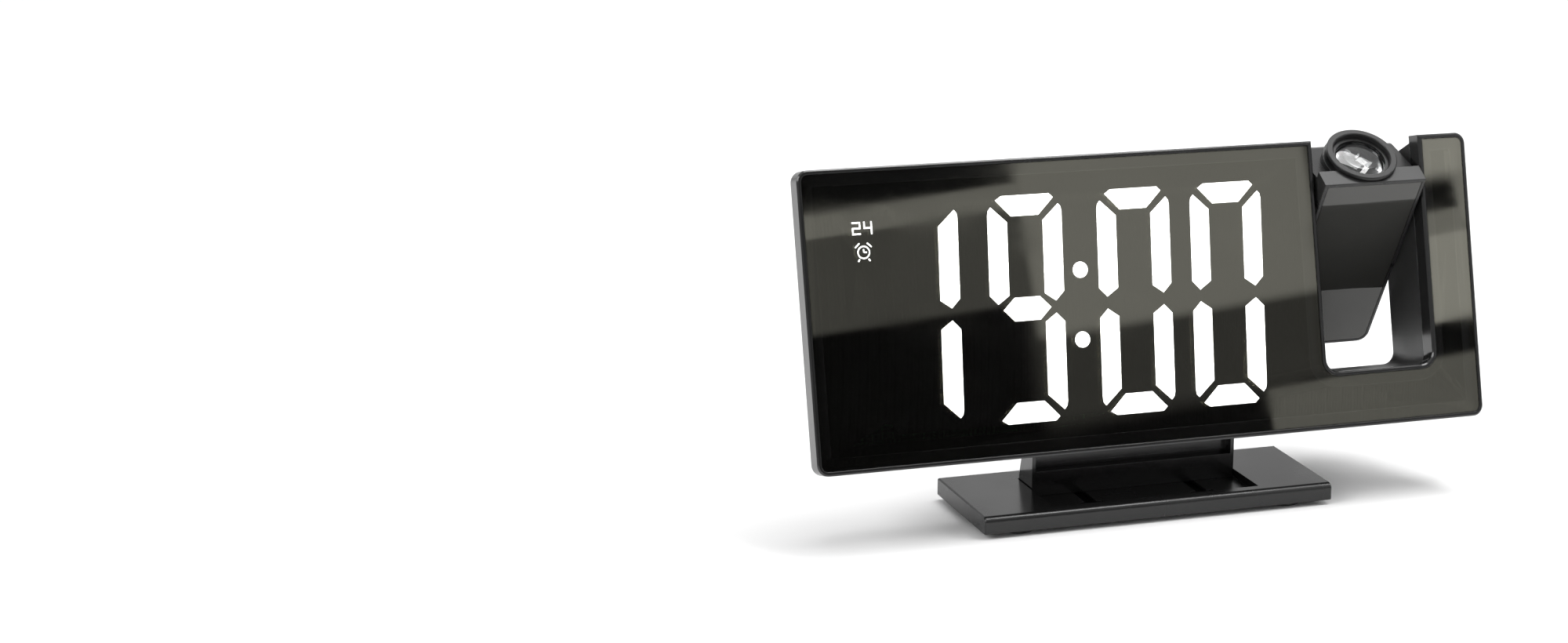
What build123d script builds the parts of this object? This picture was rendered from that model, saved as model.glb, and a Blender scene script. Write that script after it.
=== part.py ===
from build123d import *
from math import atan, degrees, hypot, sqrt
import os

# Projection alarm clock: a mirror-faced clock head on a slide-on stand, with a projector arm that
# pivots in a notch of the casing. Sizes are in millimetres and angles in degrees.
#
# The clock head is drawn in the casing frame: X along the panel, Y into its depth, Z up its face,
# origin at the middle of the lower front edge. The projector arm is drawn in the arm frame: the same
# axes with the arm upright, origin on the pivot. The stand is drawn level, with Z = 0 at that edge.

# ---------------------------------------------------------------- driving dimensions
# How far a cut runs past the face it opens, and how near an edge lies to where it is looked for
OVERCUT = 1.0
PICK_REACH = 0.1

# Panel and casing
PANEL_W = 190.0
PANEL_H = 77.5
PANEL_TILT = 14.6
PANEL_CORNER_R = 3.0
CASE_D = 23.9
FRAME_D = 5.5
RIM_W = 1.1
RIM_CHAMFER = 0.4
FRAME_LIP = 4.2
WALL = 1.8
COVER_INSET = 2.0
COVER_LEAN = 0.2554
COVER_CORNER_R = 5.0
COVER_BACK_R = 4.5

# Notch for the projector arm: its right side stands COLUMN_W in from the casing's right side
NOTCH_W = 32.0
COLUMN_W = 14.3
NOTCH_Z = 15.3
NOTCH_CORNER_R = 3.5

# Mirror window
LENS_T = 1.5
LENS_SET = 0.15
LENS_GAP = 0.1

# Time display: the four digits fill the room between its margins and gaps
DIGITS_LEFT = 21.0
DIGITS_RIGHT = 16.4
DIGITS_BELOW = 8.95
DIGITS_ABOVE = 9.5
DIGIT_GAPS = (8.1, 9.8, 6.0)
DIGIT_SLANT = 0.04
SEGMENT_T = 5.4
SEGMENT_SPLIT = 3.1
SEGMENT_TIP = 2.3
SEGMENT_POINT = 2.4
BAR_TIP = 3.7
CORNER_CUT = 1.1
MITRE_GAP = 1.45
COLON_INSET = 5.1
COLON_RISE = 9.1
COLON_R = 2.1
INDICATOR_INSET = 16.8
NUMERAL_BELOW_TOP = 17.1
NUMERAL_H = 3.3
NUMERAL_W = 2.3
NUMERAL_PITCH = 3.1
STROKE = 0.42
ICON_BELOW_TOP = 21.6
ICON_R = 1.7
ICON_STROKE = 0.34
BELL_W = 1.6
BELL_T = 0.36
BELL_ANGLE = 42.0
FOOT_ANGLE = 35.0
WELL_D = 5.5
WELL_INSET = 10.5
WELL_BEYOND = 2.7
WELL_MARGIN = 6.75
MASK_T = 1.0
DIFFUSER_T = 1.5
INDICATOR_T = 0.5
SMD_W = 2.0
SMD_H = 1.2
SMD_T = 0.7

# Boards
BOARD_T = 1.2
BOARD_BACK_GAP = 1.15
MAIN_INSET = 26.5
MAIN_BELOW = 16.0
MAIN_ABOVE = 17.5
SPACER_R = 2.5
SPACER_END_T = 1.0
SPACER_INSET = 4.5
SPACER_DROP = 14.0
DISPLAY_SCREW_INSET = 3.6
# Chips on the board's front: offset from its middle across and up, width, height and thickness
CHIPS = (
    (4.5, -3.0, 10.0, 10.0, 1.6),
    (23.5, -11.5, 8.0, 5.0, 1.4),
    (23.5, -1.5, 8.0, 5.0, 1.4),
    (-21.5, -6.0, 6.0, 8.0, 1.2),
)
# Round parts on the board's front: offset from its middle across and up, radius and height
CANS = ((-10.5, -4.0, 1.5, 2.5), (-34.5, -8.0, 2.5, 3.2))

# Casing screws and their posts
POST_R = 2.6
POST_Y = 9.0
POST_REACH = 7.5
BOSS_R = 3.5
SCREW_WELL_R = 2.4
SCREW_HEAD_R = 2.2
SCREW_HEAD_T = 1.6
SCREW_R = 1.0
SCREW_SEAT = 3.0
SMALL_HEAD_R = 1.5
SMALL_HEAD_T = 1.0
SMALL_SCREW_R = 0.8
BOARD_HEAD_R = 1.9
WELL_SCREW_L = 3.0
SPACER_SCREW_STOP = 2.0
HOLE_GAP = 0.2
HEAD_SINK = 0.1
DRIVER_SLOT_W = 0.5
SLOT_SHARE = 0.65
POST_INSET = 10.2
POST_TOP_INSET = 10.5
POST_BEFORE_NOTCH = (11.7, 7.2)
POST_BEHIND_NOTCH = 4.5
POST_DROP = 29.5

# Keys
KEY_W = 10.0
KEY_H = 5.6
KEY_PROUD = 1.0
KEY_PITCH = 15.5
KEY_BELOW_TOP = 23.5
KEY_GAP = 0.25
KEY_TRAVEL = 0.6
KEY_FLANGE_T = 0.75
KEY_FLANGE = 1.0
KEY_NAMES = ("set_key", "alarm_key", "down_key", "up_key", "projector_key")
SWITCH_W = 6.0
SWITCH_T = 3.0
PLUNGER_R = 1.7
SNOOZE_CLEAR = 20.7
SNOOZE_D = 8.0
SNOOZE_PROUD = 1.1
SNOOZE_TRAVEL = 0.8
SNOOZE_FLANGE = 1.2
SNOOZE_FLANGE_T = 1.0
SNOOZE_STEM_L = 8.2
SNOOZE_STEM_W = 3.2

# Power inlet, sounder and backup cell
SOCKET_INSET = 25.0
SOCKET_Z = 14.5
SOCKET_R = 4.6
SOCKET_BORE_R = 2.8
SOCKET_DEPTH = 9.0
SOCKET_PIN_R = 0.9
SOCKET_PIN_SET = 1.0
SOCKET_FLOOR_T = 2.0
SOCKET_STEP = 0.7
SOCKET_FLANGE_T = 0.9
PIEZO_INSET = 25.0
PIEZO_DROP = 12.0
PIEZO_R = 13.0
PIEZO_T = 2.0
PIEZO_RIM = 2.5
VENT_COUNT = 5
VENT_L = 16.0
VENT_W = 1.4
VENT_PITCH = 3.2
CELL_DROP = 22.5
CELL_R = 10.0
CELL_T = 3.2
CELL_CRIMP = 1.5
CELL_WELL = 21.6
CELL_WELL_WALL = 1.3
CONTACT_T = 0.3
CONTACT_W = 6.0
CONTACT_INSET = 1.0
DOOR_W = 24.0
DOOR_T = 1.5
DOOR_GAP = 0.2

# Projector pivot, in the casing frame
PIVOT_Y = 12.2
PIVOT_BELOW_TOP = 12.3
SHAFT_R = 4.0
SHAFT_BORE_R = 2.2
SHAFT_END_L = 0.5
RUNNING_GAP = 0.05
BUSH_R = 5.4
BUSH_FLANGE_R = 6.4
BUSH_FLANGE_T = 0.35
PIVOT_BOSS_R = 6.6
PIVOT_BOSS_L = 0.8
WASHER_T = 0.4
CLIP_R = 6.2
CLIP_T = 0.8
END_GAP = 0.2
SHAFT_FLANGE_R = 5.6
SHAFT_FLANGE_T = 1.2

# Projector arm, in the arm frame
ARM_REST = 45.2
ARM_GAP = 0.95
ARM_FOOT_GAP = 0.6
ARM_CORNER_R = 3.2
ARM_WALL = 1.6
ARM_TAIL_D = 12.0
ARM_KNEE = -14.0
ARM_BACK_T = 1.8
SWING_GAP = 0.35
PLATE_T = 0.8
PLATE_SET = 0.1
PLATE_RIM = 0.9
PLATE_CORNER_R = 2.3

# Focus ring and lens, on an axis parallel to the arm, a little to the left of the notch's middle
FOCUS_OFFSET = -0.6
FOCUS_DEPTH = 10.2
RING_R = 9.85
RING_BORE_R = 8.0
RING_TOP = 13.6
RING_FLANGE_T = 0.9
RING_EDGE = 0.2
RING_BORE_EDGE = 0.25
SLEEVE_R = 8.5
SLEEVE_HELD = 6.2
THREAD_PITCH = 1.0
THREAD_DEPTH = 0.25
BARREL_GAP = 0.08
BARREL_WALL = 1.4
BORE_RELIEF = 3.0
COLLAR_R = 10.3
COLLAR_TOP = 10.9
COLLAR_FOOT_H = 3.0
FOCUS_TRAVEL = 2.0
GLASS_R = 7.45
GLASS_EDGE = 1.8
GLASS_TOP_SAG = 1.5
GLASS_LOW_SAG = 1.2
GLASS_SET = 2.4
GLASS_LOW_INSET = 0.1
CELL_WALL_GAP = 0.08
LENS_CELL_BORE_R = 6.6
LENS_CELL_FOOT_T = 1.0
RETAINER_T = 0.6
RETAINER_GAP = 0.02
RETAINER_BORE_R = 7.0
LIGHT_BOX_W = 12.4
LIGHT_BOX_TOP = -12.0
LIGHT_BOX_L = 13.0
LIGHT_BOX_WALL = 1.0
SLIDE_T = 1.5
SLIDE_DROP = 2.0
CONDENSER_EDGE = 1.2
CONDENSER_SAG = 1.8
LAMP_W = 3.4
LAMP_T = 1.4
LAMP_DOME_H = 0.4
LAMP_DOME_INSET = 0.2
CONDENSER_GAP = 1.4
ARM_SCREW_INSET = 3.9
ARM_SCREW_Z = -11.0
ARM_SCREW_L = 8.0
ARM_HOLE_STOP = 2.0
ARM_BOSS_R = 2.5
WIRE_R = 1.4
PLUG_W = 6.0
PLUG_INSET = 6.0
PLUG_DROP = 3.0
PLUG_WALL = 0.6

# Stand, level, with Y = 0 and Z = 0 at the panel's lower front edge
BASE_W = 99.6
BASE_D = 37.1
BASE_T = 4.6
BASE_Y0 = 0.5
BASE_TOP = -15.35
BASE_NOSE_R = 1.6
BASE_EDGE = 0.35
BASE_WALL = 1.5
RECESS_Y0 = 4.4
RECESS_DEPTH = 2.1
RECESS_GAP = 0.3
RECESS_FLOOR_T = 0.8
UNDERPLATE_T = 0.8
PLATE_SEAT_W = 1.0
FOOT_R = 4.5
FOOT_H = 1.5
FOOT_INSET_X = 11.3
FOOT_INSET_Y = 6.5
BALLAST_T = 2.2
BALLAST_GAP = 0.3
BASE_SCREW_GAP = 2.45
BASE_SCREW_INSET = 13.2
BASE_SCREW_L = 2.4
NECK_W = 58.7
NECK_Y0 = 20.3
NECK_FOOT_D = 9.8
NECK_FOOT_RISE = 1.0
NECK_TOP_D = 4.9
NECK_TOP_Z = 0.5
NECK_REACH = 1.5
NECK_BACK_R = 2.0
CHEEK_T = 1.0
NECK_PLATE_H = 6.8
NECK_POCKET_D = 3.2
NECK_CEILING_T = 1.7
NECK_SCREW_X = (-22.0, -9.0, 9.0, 22.0)
NECK_BOSS_R = 2.2
NECK_BOSS_H = 4.2
NECK_HOLE_STOP = 1.0
NECK_SCREW_STOP = 2.0
HOOK_X = 16.0
HOOK_STEM_W = 2.6
HOOK_HEAD_W = 6.0
HOOK_D = 3.6
HOOK_HEAD_T = 0.6
HOOK_GAP = 0.1
SLOT_GAP = 0.3

# ---------------------------------------------------------------- sizes that follow
FAR = 100.0
LEFT = -PANEL_W / 2
NOTCH_X1 = PANEL_W / 2 - COLUMN_W
NOTCH_X0 = NOTCH_X1 - NOTCH_W
DIGITS_X0 = LEFT + DIGITS_LEFT
DIGITS_X1 = NOTCH_X0 - DIGITS_RIGHT
DIGIT_W = (DIGITS_X1 - DIGITS_X0 - sum(DIGIT_GAPS)) / (len(DIGIT_GAPS) + 1)
DIGIT_H = PANEL_H - DIGITS_BELOW - DIGITS_ABOVE
DIGIT_X = [DIGITS_X0 + i * DIGIT_W + sum(DIGIT_GAPS[:i]) for i in range(len(DIGIT_GAPS) + 1)]
DIGIT_MID_Z = DIGITS_BELOW + DIGIT_H / 2
COLON_X = DIGIT_X[2] - COLON_INSET
INDICATOR_X = LEFT + INDICATOR_INSET
WELL_X0 = LEFT + WELL_INSET
WELL_X1 = DIGITS_X1 + WELL_BEYOND
WELL_Z0 = WELL_MARGIN
WELL_Z1 = PANEL_H - WELL_MARGIN
PIVOT_Z = PANEL_H - PIVOT_BELOW_TOP
LENS_Y1 = LENS_SET + LENS_T
WELL_Y1 = LENS_Y1 + WELL_D
DISPLAY_BOARD_Y1 = WELL_Y1 + BOARD_T
BACK_INNER_Y = CASE_D - WALL
CELL_FLOOR_Y = BACK_INNER_Y - CELL_T - CONTACT_T
MAIN_Y1 = CELL_FLOOR_Y - CELL_WELL_WALL - BOARD_BACK_GAP
MAIN_Y0 = MAIN_Y1 - BOARD_T
MAIN_X0 = WELL_X0 + MAIN_INSET
MAIN_X1 = WELL_X1
MAIN_X = (MAIN_X0 + MAIN_X1) / 2
MAIN_Z0 = MAIN_BELOW
MAIN_Z1 = PANEL_H - MAIN_ABOVE
MAIN_Z = (MAIN_Z0 + MAIN_Z1) / 2
KEY_Z = PANEL_H - KEY_BELOW_TOP
KEY_X = [MAIN_X + (i - (len(KEY_NAMES) - 1) / 2) * KEY_PITCH for i in range(len(KEY_NAMES))]
SNOOZE_Y = (FRAME_D + CASE_D) / 2
SNOOZE_W = 2 * (NOTCH_X0 - SNOOZE_CLEAR)
SOCKET_X = LEFT + SOCKET_INSET
PIEZO_X = LEFT + PIEZO_INSET
PIEZO_Z = KEY_Z - PIEZO_DROP
CELL_X = MAIN_X
CELL_Z = KEY_Z - CELL_DROP
PLUG_X = MAIN_X1 - PLUG_INSET
PLUG_Y = MAIN_Y0 - WIRE_R - 2 * PLUG_WALL
PLUG_Z = MAIN_Z1 - PLUG_DROP
# Posts for the casing screws: place across and up, and the way to the frame that holds each
CASING_POSTS = (
    (LEFT + POST_INSET, POST_INSET, -1, -1),
    (LEFT + POST_INSET, PANEL_H - POST_TOP_INSET, -1, 1),
    (NOTCH_X0 - POST_BEFORE_NOTCH[0], PANEL_H - POST_TOP_INSET, 1, 1),
    (NOTCH_X0 - POST_BEFORE_NOTCH[1], POST_INSET, 1, -1),
    (NOTCH_X1 + POST_BEHIND_NOTCH, PANEL_H - POST_DROP, 1, 1),
    (NOTCH_X1 + POST_BEHIND_NOTCH, POST_INSET, 1, -1),
)
FOCUS_X = NOTCH_X0 + NOTCH_W / 2 + FOCUS_OFFSET
ARM_X0 = NOTCH_X0 + ARM_GAP
ARM_X1 = NOTCH_X1 - ARM_GAP
ARM_INNER_Y = -PIVOT_Y + PLATE_SET + PLATE_T + ARM_WALL
ARM_TOP = PIVOT_BELOW_TOP
ARM_BOTTOM = NOTCH_Z + ARM_FOOT_GAP - PIVOT_Z
SWING_R = hypot(ARM_BOTTOM, PIVOT_Y) + SWING_GAP
FOCUS_Y = FOCUS_DEPTH - PIVOT_Y
RING_SEAT = RING_TOP - RING_FLANGE_T
SLEEVE_L = SLEEVE_HELD + FOCUS_TRAVEL
SLEEVE_BOTTOM = RING_SEAT - SLEEVE_L
GLASS_EDGE_TOP = RING_TOP - GLASS_SET
CONDENSER_R = LIGHT_BOX_W / 2 - LIGHT_BOX_WALL
RECESS_FLOOR = BASE_TOP - RECESS_DEPTH
BASE_SCREW_X = NECK_W / 2 + RECESS_GAP + BASE_WALL + BASE_SCREW_GAP
NECK_Y1 = NECK_Y0 + NECK_FOOT_D
RECESS_Y1 = NECK_Y1 + RECESS_GAP
SLIDE_TRAVEL = NECK_Y0 - RECESS_Y0 - RECESS_GAP
BASE_BOTTOM = BASE_TOP - BASE_T
BASE_Y1 = BASE_Y0 + BASE_D
FLOOR_Z = BASE_BOTTOM - FOOT_H
CASE = Location((0, 0, 0), (-PANEL_TILT, 0, 0))
ARM = CASE * Location((0, PIVOT_Y, PIVOT_Z), (ARM_REST, 0, 0))


# ---------------------------------------------------------------- drawing helpers
def block(x0, x1, y0, y1, z0, z1):
    """Box between two corners."""
    middle = ((x0 + x1) / 2, (y0 + y1) / 2, (z0 + z1) / 2)
    return Pos(*middle) * Box(abs(x1 - x0), abs(y1 - y0), abs(z1 - z0))


def rod_y(x, z, r, y0, y1):
    """Cylinder along Y."""
    return Pos(x, (y0 + y1) / 2, z) * Rot(90, 0, 0) * Cylinder(r, abs(y1 - y0))


def rod_x(y, z, r, x0, x1):
    """Cylinder along X."""
    return Pos((x0 + x1) / 2, y, z) * Rot(0, 90, 0) * Cylinder(r, abs(x1 - x0))


def rod_z(x, y, r, z0, z1):
    """Cylinder along Z."""
    return Pos(x, y, (z0 + z1) / 2) * Cylinder(r, abs(z1 - z0))


def at_depth(y):
    """Plane parallel to the panel's face at depth y, drawn in X and Z."""
    return Plane(origin=(0, y, 0), x_dir=(1, 0, 0), z_dir=(0, -1, 0))


def slab(sketch, y0, y1):
    """A sketch in X and Z made solid from y0 to y1."""
    return extrude(at_depth(y0) * sketch, amount=y1 - y0, dir=(0, 1, 0))


def prism_x(points, x0, x1):
    """Outline in Y and Z made solid from x0 to x1."""
    outline = Polyline(*[(x0, y, z) for y, z in points], close=True)
    return extrude(make_face(outline), amount=x1 - x0, dir=(1, 0, 0))


def ring_of(points, x, y):
    """Outline in radius and Z turned about the upright axis through x and y."""
    face = make_face(Polyline(*[(r, 0, z) for r, z in points], close=True))
    return Pos(x, y, 0) * revolve(face, axis=Axis.Z)


def spherical_cap(r, sag, x, y, z, up):
    """Shallow dome of base radius r whose flat side is at height z."""
    curve_r = (r * r + sag * sag) / (2 * sag)
    ball = Pos(x, y, z - up * (curve_r - sag)) * Sphere(curve_r)
    return ball & rod_z(x, y, r, z, z + up * 2 * sag)


def frame_rect(inset, corner):
    """Rounded outline of the panel without its notch, inset all round."""
    sketch = RectangleRounded(PANEL_W - 2 * inset, PANEL_H - 2 * inset, corner)
    return Pos(0, PANEL_H / 2) * sketch


def notch_sketch(grow):
    """The notch, open at the top, with every side moved outwards by grow."""
    width = NOTCH_W + 2 * grow
    height = PANEL_H - NOTCH_Z + 2 * grow
    sketch = Pos(NOTCH_X0 + NOTCH_W / 2, NOTCH_Z - grow + height / 2) * Rectangle(width, height)
    return fillet(sketch.vertices().sort_by(Axis.Y)[:2], NOTCH_CORNER_R + grow)


def panel_sketch(inset):
    """The panel's outline with its notch, inset all round."""
    corner = max(PANEL_CORNER_R - inset, 0.5)
    return frame_rect(inset, corner) - notch_sketch(inset)


def swing_space():
    """The space that the arm's tail sweeps: a drum about the pivot with rounded rims."""
    drum = rod_x(PIVOT_Y, PIVOT_Z, SWING_R, NOTCH_X0, NOTCH_X1)
    rims = drum.edges().filter_by(GeomType.CIRCLE)
    return fillet(rims, NOTCH_CORNER_R)


def post_pads(grow, y0):
    """Posts for the casing screws with their gussets to the frame, from depth y0."""
    pads = []
    for x, z, toward_x, toward_z in CASING_POSTS:
        x1 = x + toward_x * POST_REACH
        z1 = z + toward_z * POST_REACH
        pads.append(rod_y(x, z, POST_R + grow, y0, POST_Y))
        left, right = min(x, x1) - grow, max(x, x1) + grow
        pads.append(block(left, right, y0, FRAME_D, min(z, z1) - grow, max(z, z1) + grow))
    return pads


# ---------------------------------------------------------------- time display
def segment_outlines(corner_x):
    """The seven segments of one digit as lists of points, lettered from the top clockwise."""
    w, h, t = DIGIT_W, DIGIT_H, SEGMENT_T
    mid = h / 2
    tip_z = mid + SEGMENT_SPLIT / 2
    inner = h - t - MITRE_GAP
    flat = [
        (SEGMENT_TIP, h - CORNER_CUT),
        (SEGMENT_TIP + 1.5 * CORNER_CUT, h),
        (w - SEGMENT_TIP - CORNER_CUT, h),
        (w - SEGMENT_TIP, h - CORNER_CUT),
        (w - t - CORNER_CUT, h - t),
        (t + CORNER_CUT, h - t),
    ]
    side = [
        (0, h - 2 * SEGMENT_POINT),
        (0.1 * SEGMENT_POINT, h - 1.5 * SEGMENT_POINT),
        (0.4 * SEGMENT_POINT, h - 1.15 * SEGMENT_POINT),
        (t, inner),
        (t, tip_z + 0.9 * SEGMENT_POINT),
        (SEGMENT_TIP, tip_z),
        (0, tip_z + SEGMENT_POINT),
    ]
    half = t / 2 + CORNER_CUT / 3
    bar = [
        (BAR_TIP, mid),
        (BAR_TIP + half, mid + half),
        (w - BAR_TIP - half, mid + half),
        (w - BAR_TIP, mid),
        (w - BAR_TIP - half, mid - half),
        (BAR_TIP + half, mid - half),
    ]
    outlines = {
        "a": flat,
        "b": [(w - x, z) for x, z in side],
        "c": [(w - x, h - z) for x, z in side],
        "d": [(x, h - z) for x, z in flat],
        "e": [(x, h - z) for x, z in side],
        "f": side,
        "g": bar,
    }
    return {
        name: [(corner_x + x + DIGIT_SLANT * (z - mid), DIGITS_BELOW + z) for x, z in points]
        for name, points in outlines.items()
    }


def outline_solid(points, y0, y1):
    """Outline in X and Z made solid from y0 to y1."""
    face = make_face(Polyline(*[(x, y0, z) for x, z in points], close=True))
    return extrude(face, amount=y1 - y0, dir=(0, 1, 0))


def time_segments(lit):
    """Outlines of the segments that are lit for nineteen hundred hours, or of the others."""
    shown = {"1": "bc", "9": "abcdfg", "0": "abcdef"}
    outlines = []
    for corner_x, numeral in zip(DIGIT_X, "1900"):
        for name, points in segment_outlines(corner_x).items():
            if (name in shown[numeral]) == lit:
                outlines.append(points)
    return outlines


def segment_solids(lit, y0, y1):
    return [outline_solid(points, y0, y1) for points in time_segments(lit)]


def colon_solids(y0, y1):
    return [rod_y(x, z, COLON_R, y0, y1) for x, z in colon_places()]


def colon_places():
    return [(COLON_X + DIGIT_SLANT * rise, DIGIT_MID_Z + rise) for rise in (COLON_RISE, -COLON_RISE)]


def indicator_solids(y0, y1):
    """A small 24 for the day's hours and, below it, a plain bell-clock sign."""
    x0 = INDICATOR_X - NUMERAL_PITCH / 2 - NUMERAL_W / 2
    z0 = PANEL_H - NUMERAL_BELOW_TOP
    z1 = z0 + NUMERAL_H
    mid = (z0 + z1) / 2
    right = x0 + NUMERAL_W
    bars = [
        (x0, right, z1 - STROKE, z1),
        (right - STROKE, right, mid, z1),
        (x0, right, mid - STROKE / 2, mid + STROKE / 2),
        (x0, x0 + STROKE, z0, mid),
        (x0, right, z0, z0 + STROKE),
    ]
    two = Sketch() + [Pos((a + b) / 2, (c + d) / 2) * Rectangle(b - a, d - c) for a, b, c, d in bars]
    x0 += NUMERAL_PITCH
    right += NUMERAL_PITCH
    bars = [
        (x0, x0 + STROKE, mid, z1),
        (x0, right, mid - STROKE / 2, mid + STROKE / 2),
        (right - STROKE, right, z0, z1),
    ]
    four = Sketch() + [Pos((a + b) / 2, (c + d) / 2) * Rectangle(b - a, d - c) for a, b, c, d in bars]
    dial = Circle(ICON_R) - Circle(ICON_R - ICON_STROKE)
    hand = ICON_R / 2
    hands = Pos(0, hand / 2) * Rectangle(ICON_STROKE, hand)
    hands += Pos(hand / 2, 0) * Rectangle(hand, ICON_STROKE)
    bells = []
    feet = []
    outside = Pos(0, ICON_R + 2 * BELL_T)
    for side in (-1, 1):
        bells.append(Rot(0, 0, -side * BELL_ANGLE) * outside * Rectangle(BELL_W, BELL_T))
        feet.append(Rot(0, 0, 180 + side * FOOT_ANGLE) * outside * Rectangle(BELL_T, 2 * BELL_T))
    marks = [dial, hands, *bells, *feet]
    solids = [slab(two, y0, y1), slab(four, y0, y1)]
    for mark in marks:
        solids.append(slab(Pos(INDICATOR_X, PANEL_H - ICON_BELOW_TOP) * mark, y0, y1))
    return solids


def display_housing():
    """Black block of light wells behind the mirror, with a thin mask over the rest of the panel."""
    mask = slab(panel_sketch(FRAME_LIP + LENS_GAP), LENS_Y1, LENS_Y1 + MASK_T)
    wells = block(WELL_X0, WELL_X1, LENS_Y1, WELL_Y1, WELL_Z0, WELL_Z1)
    body = mask + wells
    body -= post_pads(RECESS_GAP, LENS_Y1 + MASK_T)
    body -= segment_solids(True, LENS_Y1, WELL_Y1)
    body -= segment_solids(False, LENS_Y1, WELL_Y1)
    body -= colon_solids(LENS_Y1, WELL_Y1)
    body -= indicator_solids(LENS_Y1, LENS_Y1 + INDICATOR_T)
    body -= [rod_y(x, z, SMALL_SCREW_R, LENS_Y1 + MASK_T, WELL_Y1) for x, z in display_screw_places()]
    return body


def display_screw_places():
    """Places in the gaps between the digits, clear of their segments."""
    xs = (DIGIT_X[1] - DIGIT_GAPS[0] / 2, DIGIT_X[3] - DIGIT_GAPS[2] / 2)
    zs = (WELL_Z0 + DISPLAY_SCREW_INSET, WELL_Z1 - DISPLAY_SCREW_INSET)
    return [(x, z) for x in xs for z in zs]


def display_board():
    """Board that closes the wells and carries the lamps of the segments."""
    body = block(WELL_X0, WELL_X1, WELL_Y1, DISPLAY_BOARD_Y1, WELL_Z0, WELL_Z1)
    body -= post_pads(2 * RECESS_GAP, LENS_Y1)
    hole_r = SMALL_SCREW_R + HOLE_GAP
    return body - [rod_y(x, z, hole_r, WELL_Y1, DISPLAY_BOARD_Y1) for x, z in display_screw_places()]


def display_lamps():
    """One small lamp behind each segment and colon dot."""
    places = []
    for points in time_segments(True) + time_segments(False):
        xs = [x for x, z in points]
        zs = [z for x, z in points]
        places.append(((min(xs) + max(xs)) / 2, (min(zs) + max(zs)) / 2))
    places += colon_places()
    y0 = WELL_Y1 - SMD_T
    return [
        block(x - SMD_W / 2, x + SMD_W / 2, y0, WELL_Y1, z - SMD_H / 2, z + SMD_H / 2) for x, z in places
    ]


# ---------------------------------------------------------------- casing
def front_frame():
    """Front band of the casing: rim, rebate for the mirror, lip behind it and screw posts."""
    body = slab(panel_sketch(0), 0, FRAME_D)
    body = chamfer(body.faces().sort_by(Axis.Y)[0].edges(), RIM_CHAMFER)
    body -= slab(panel_sketch(RIM_W), -OVERCUT, LENS_Y1)
    body -= slab(panel_sketch(FRAME_LIP), -OVERCUT, FRAME_D + OVERCUT)
    body -= swing_space()
    body += post_pads(0, LENS_Y1 + MASK_T + LENS_GAP)
    body -= [rod_y(x, z, SCREW_R, FRAME_D - OVERCUT, POST_Y + OVERCUT) for x, z, _, _ in CASING_POSTS]
    return body


def mirror_lens():
    """Smoked half-mirror window that covers the whole front."""
    return slab(panel_sketch(RIM_W + LENS_GAP), LENS_SET, LENS_Y1)


def cover_block(shrink):
    """Leaning outer form of the rear cover, or the space inside it when shrunk by its wall."""
    y1 = CASE_D - shrink
    inset_front = COVER_INSET + shrink
    inset_back = inset_front + COVER_LEAN * (y1 - FRAME_D)
    corner = COVER_CORNER_R - shrink
    front = at_depth(FRAME_D) * frame_rect(inset_front, corner)
    back = at_depth(y1) * frame_rect(inset_back, corner)
    body = loft([front, back])
    rim = body.faces().sort_by(Axis.Y)[-1].edges()
    return fillet(rim, COVER_BACK_R - shrink)


def snooze_place():
    """Place of the snooze bar: on the leaning top of the rear cover, square to it."""
    top = PANEL_H - COVER_INSET - COVER_LEAN * (SNOOZE_Y - FRAME_D)
    return Location((0, SNOOZE_Y, top), (-degrees(atan(COVER_LEAN)), 0, 0))


def key_outline(grow):
    return SlotOverall(KEY_W + 2 * grow, KEY_H + 2 * grow)


def well_walls():
    """Walls and floor of the backup cell's well, with a boss for the door's screw."""
    half = CELL_WELL / 2 + CELL_WELL_WALL
    floor_y = CELL_FLOOR_Y - CELL_WELL_WALL
    return block(CELL_X - half, CELL_X + half, floor_y, CASE_D - WALL / 2, CELL_Z - half, CELL_Z + half)


def door_corner():
    """Place of the battery door's screw, in the corner of the well."""
    reach = CELL_WELL / 2 - POST_R / 2
    return CELL_X + reach, CELL_Z + reach


def cell_space():
    """Hollow of the cell's well and the seat of its door."""
    half = CELL_WELL / 2
    door = DOOR_W / 2 + DOOR_GAP
    door_y = CASE_D - DOOR_T
    x, z = door_corner()
    hollow = block(CELL_X - half, CELL_X + half, CELL_FLOOR_Y, CASE_D, CELL_Z - half, CELL_Z + half)
    hollow -= rod_y(x, z, POST_R / 2 + SMALL_SCREW_R, CELL_FLOOR_Y, door_y)
    seat = block(CELL_X - door, CELL_X + door, door_y, CASE_D + OVERCUT, CELL_Z - door, CELL_Z + door)
    return hollow + seat


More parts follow.
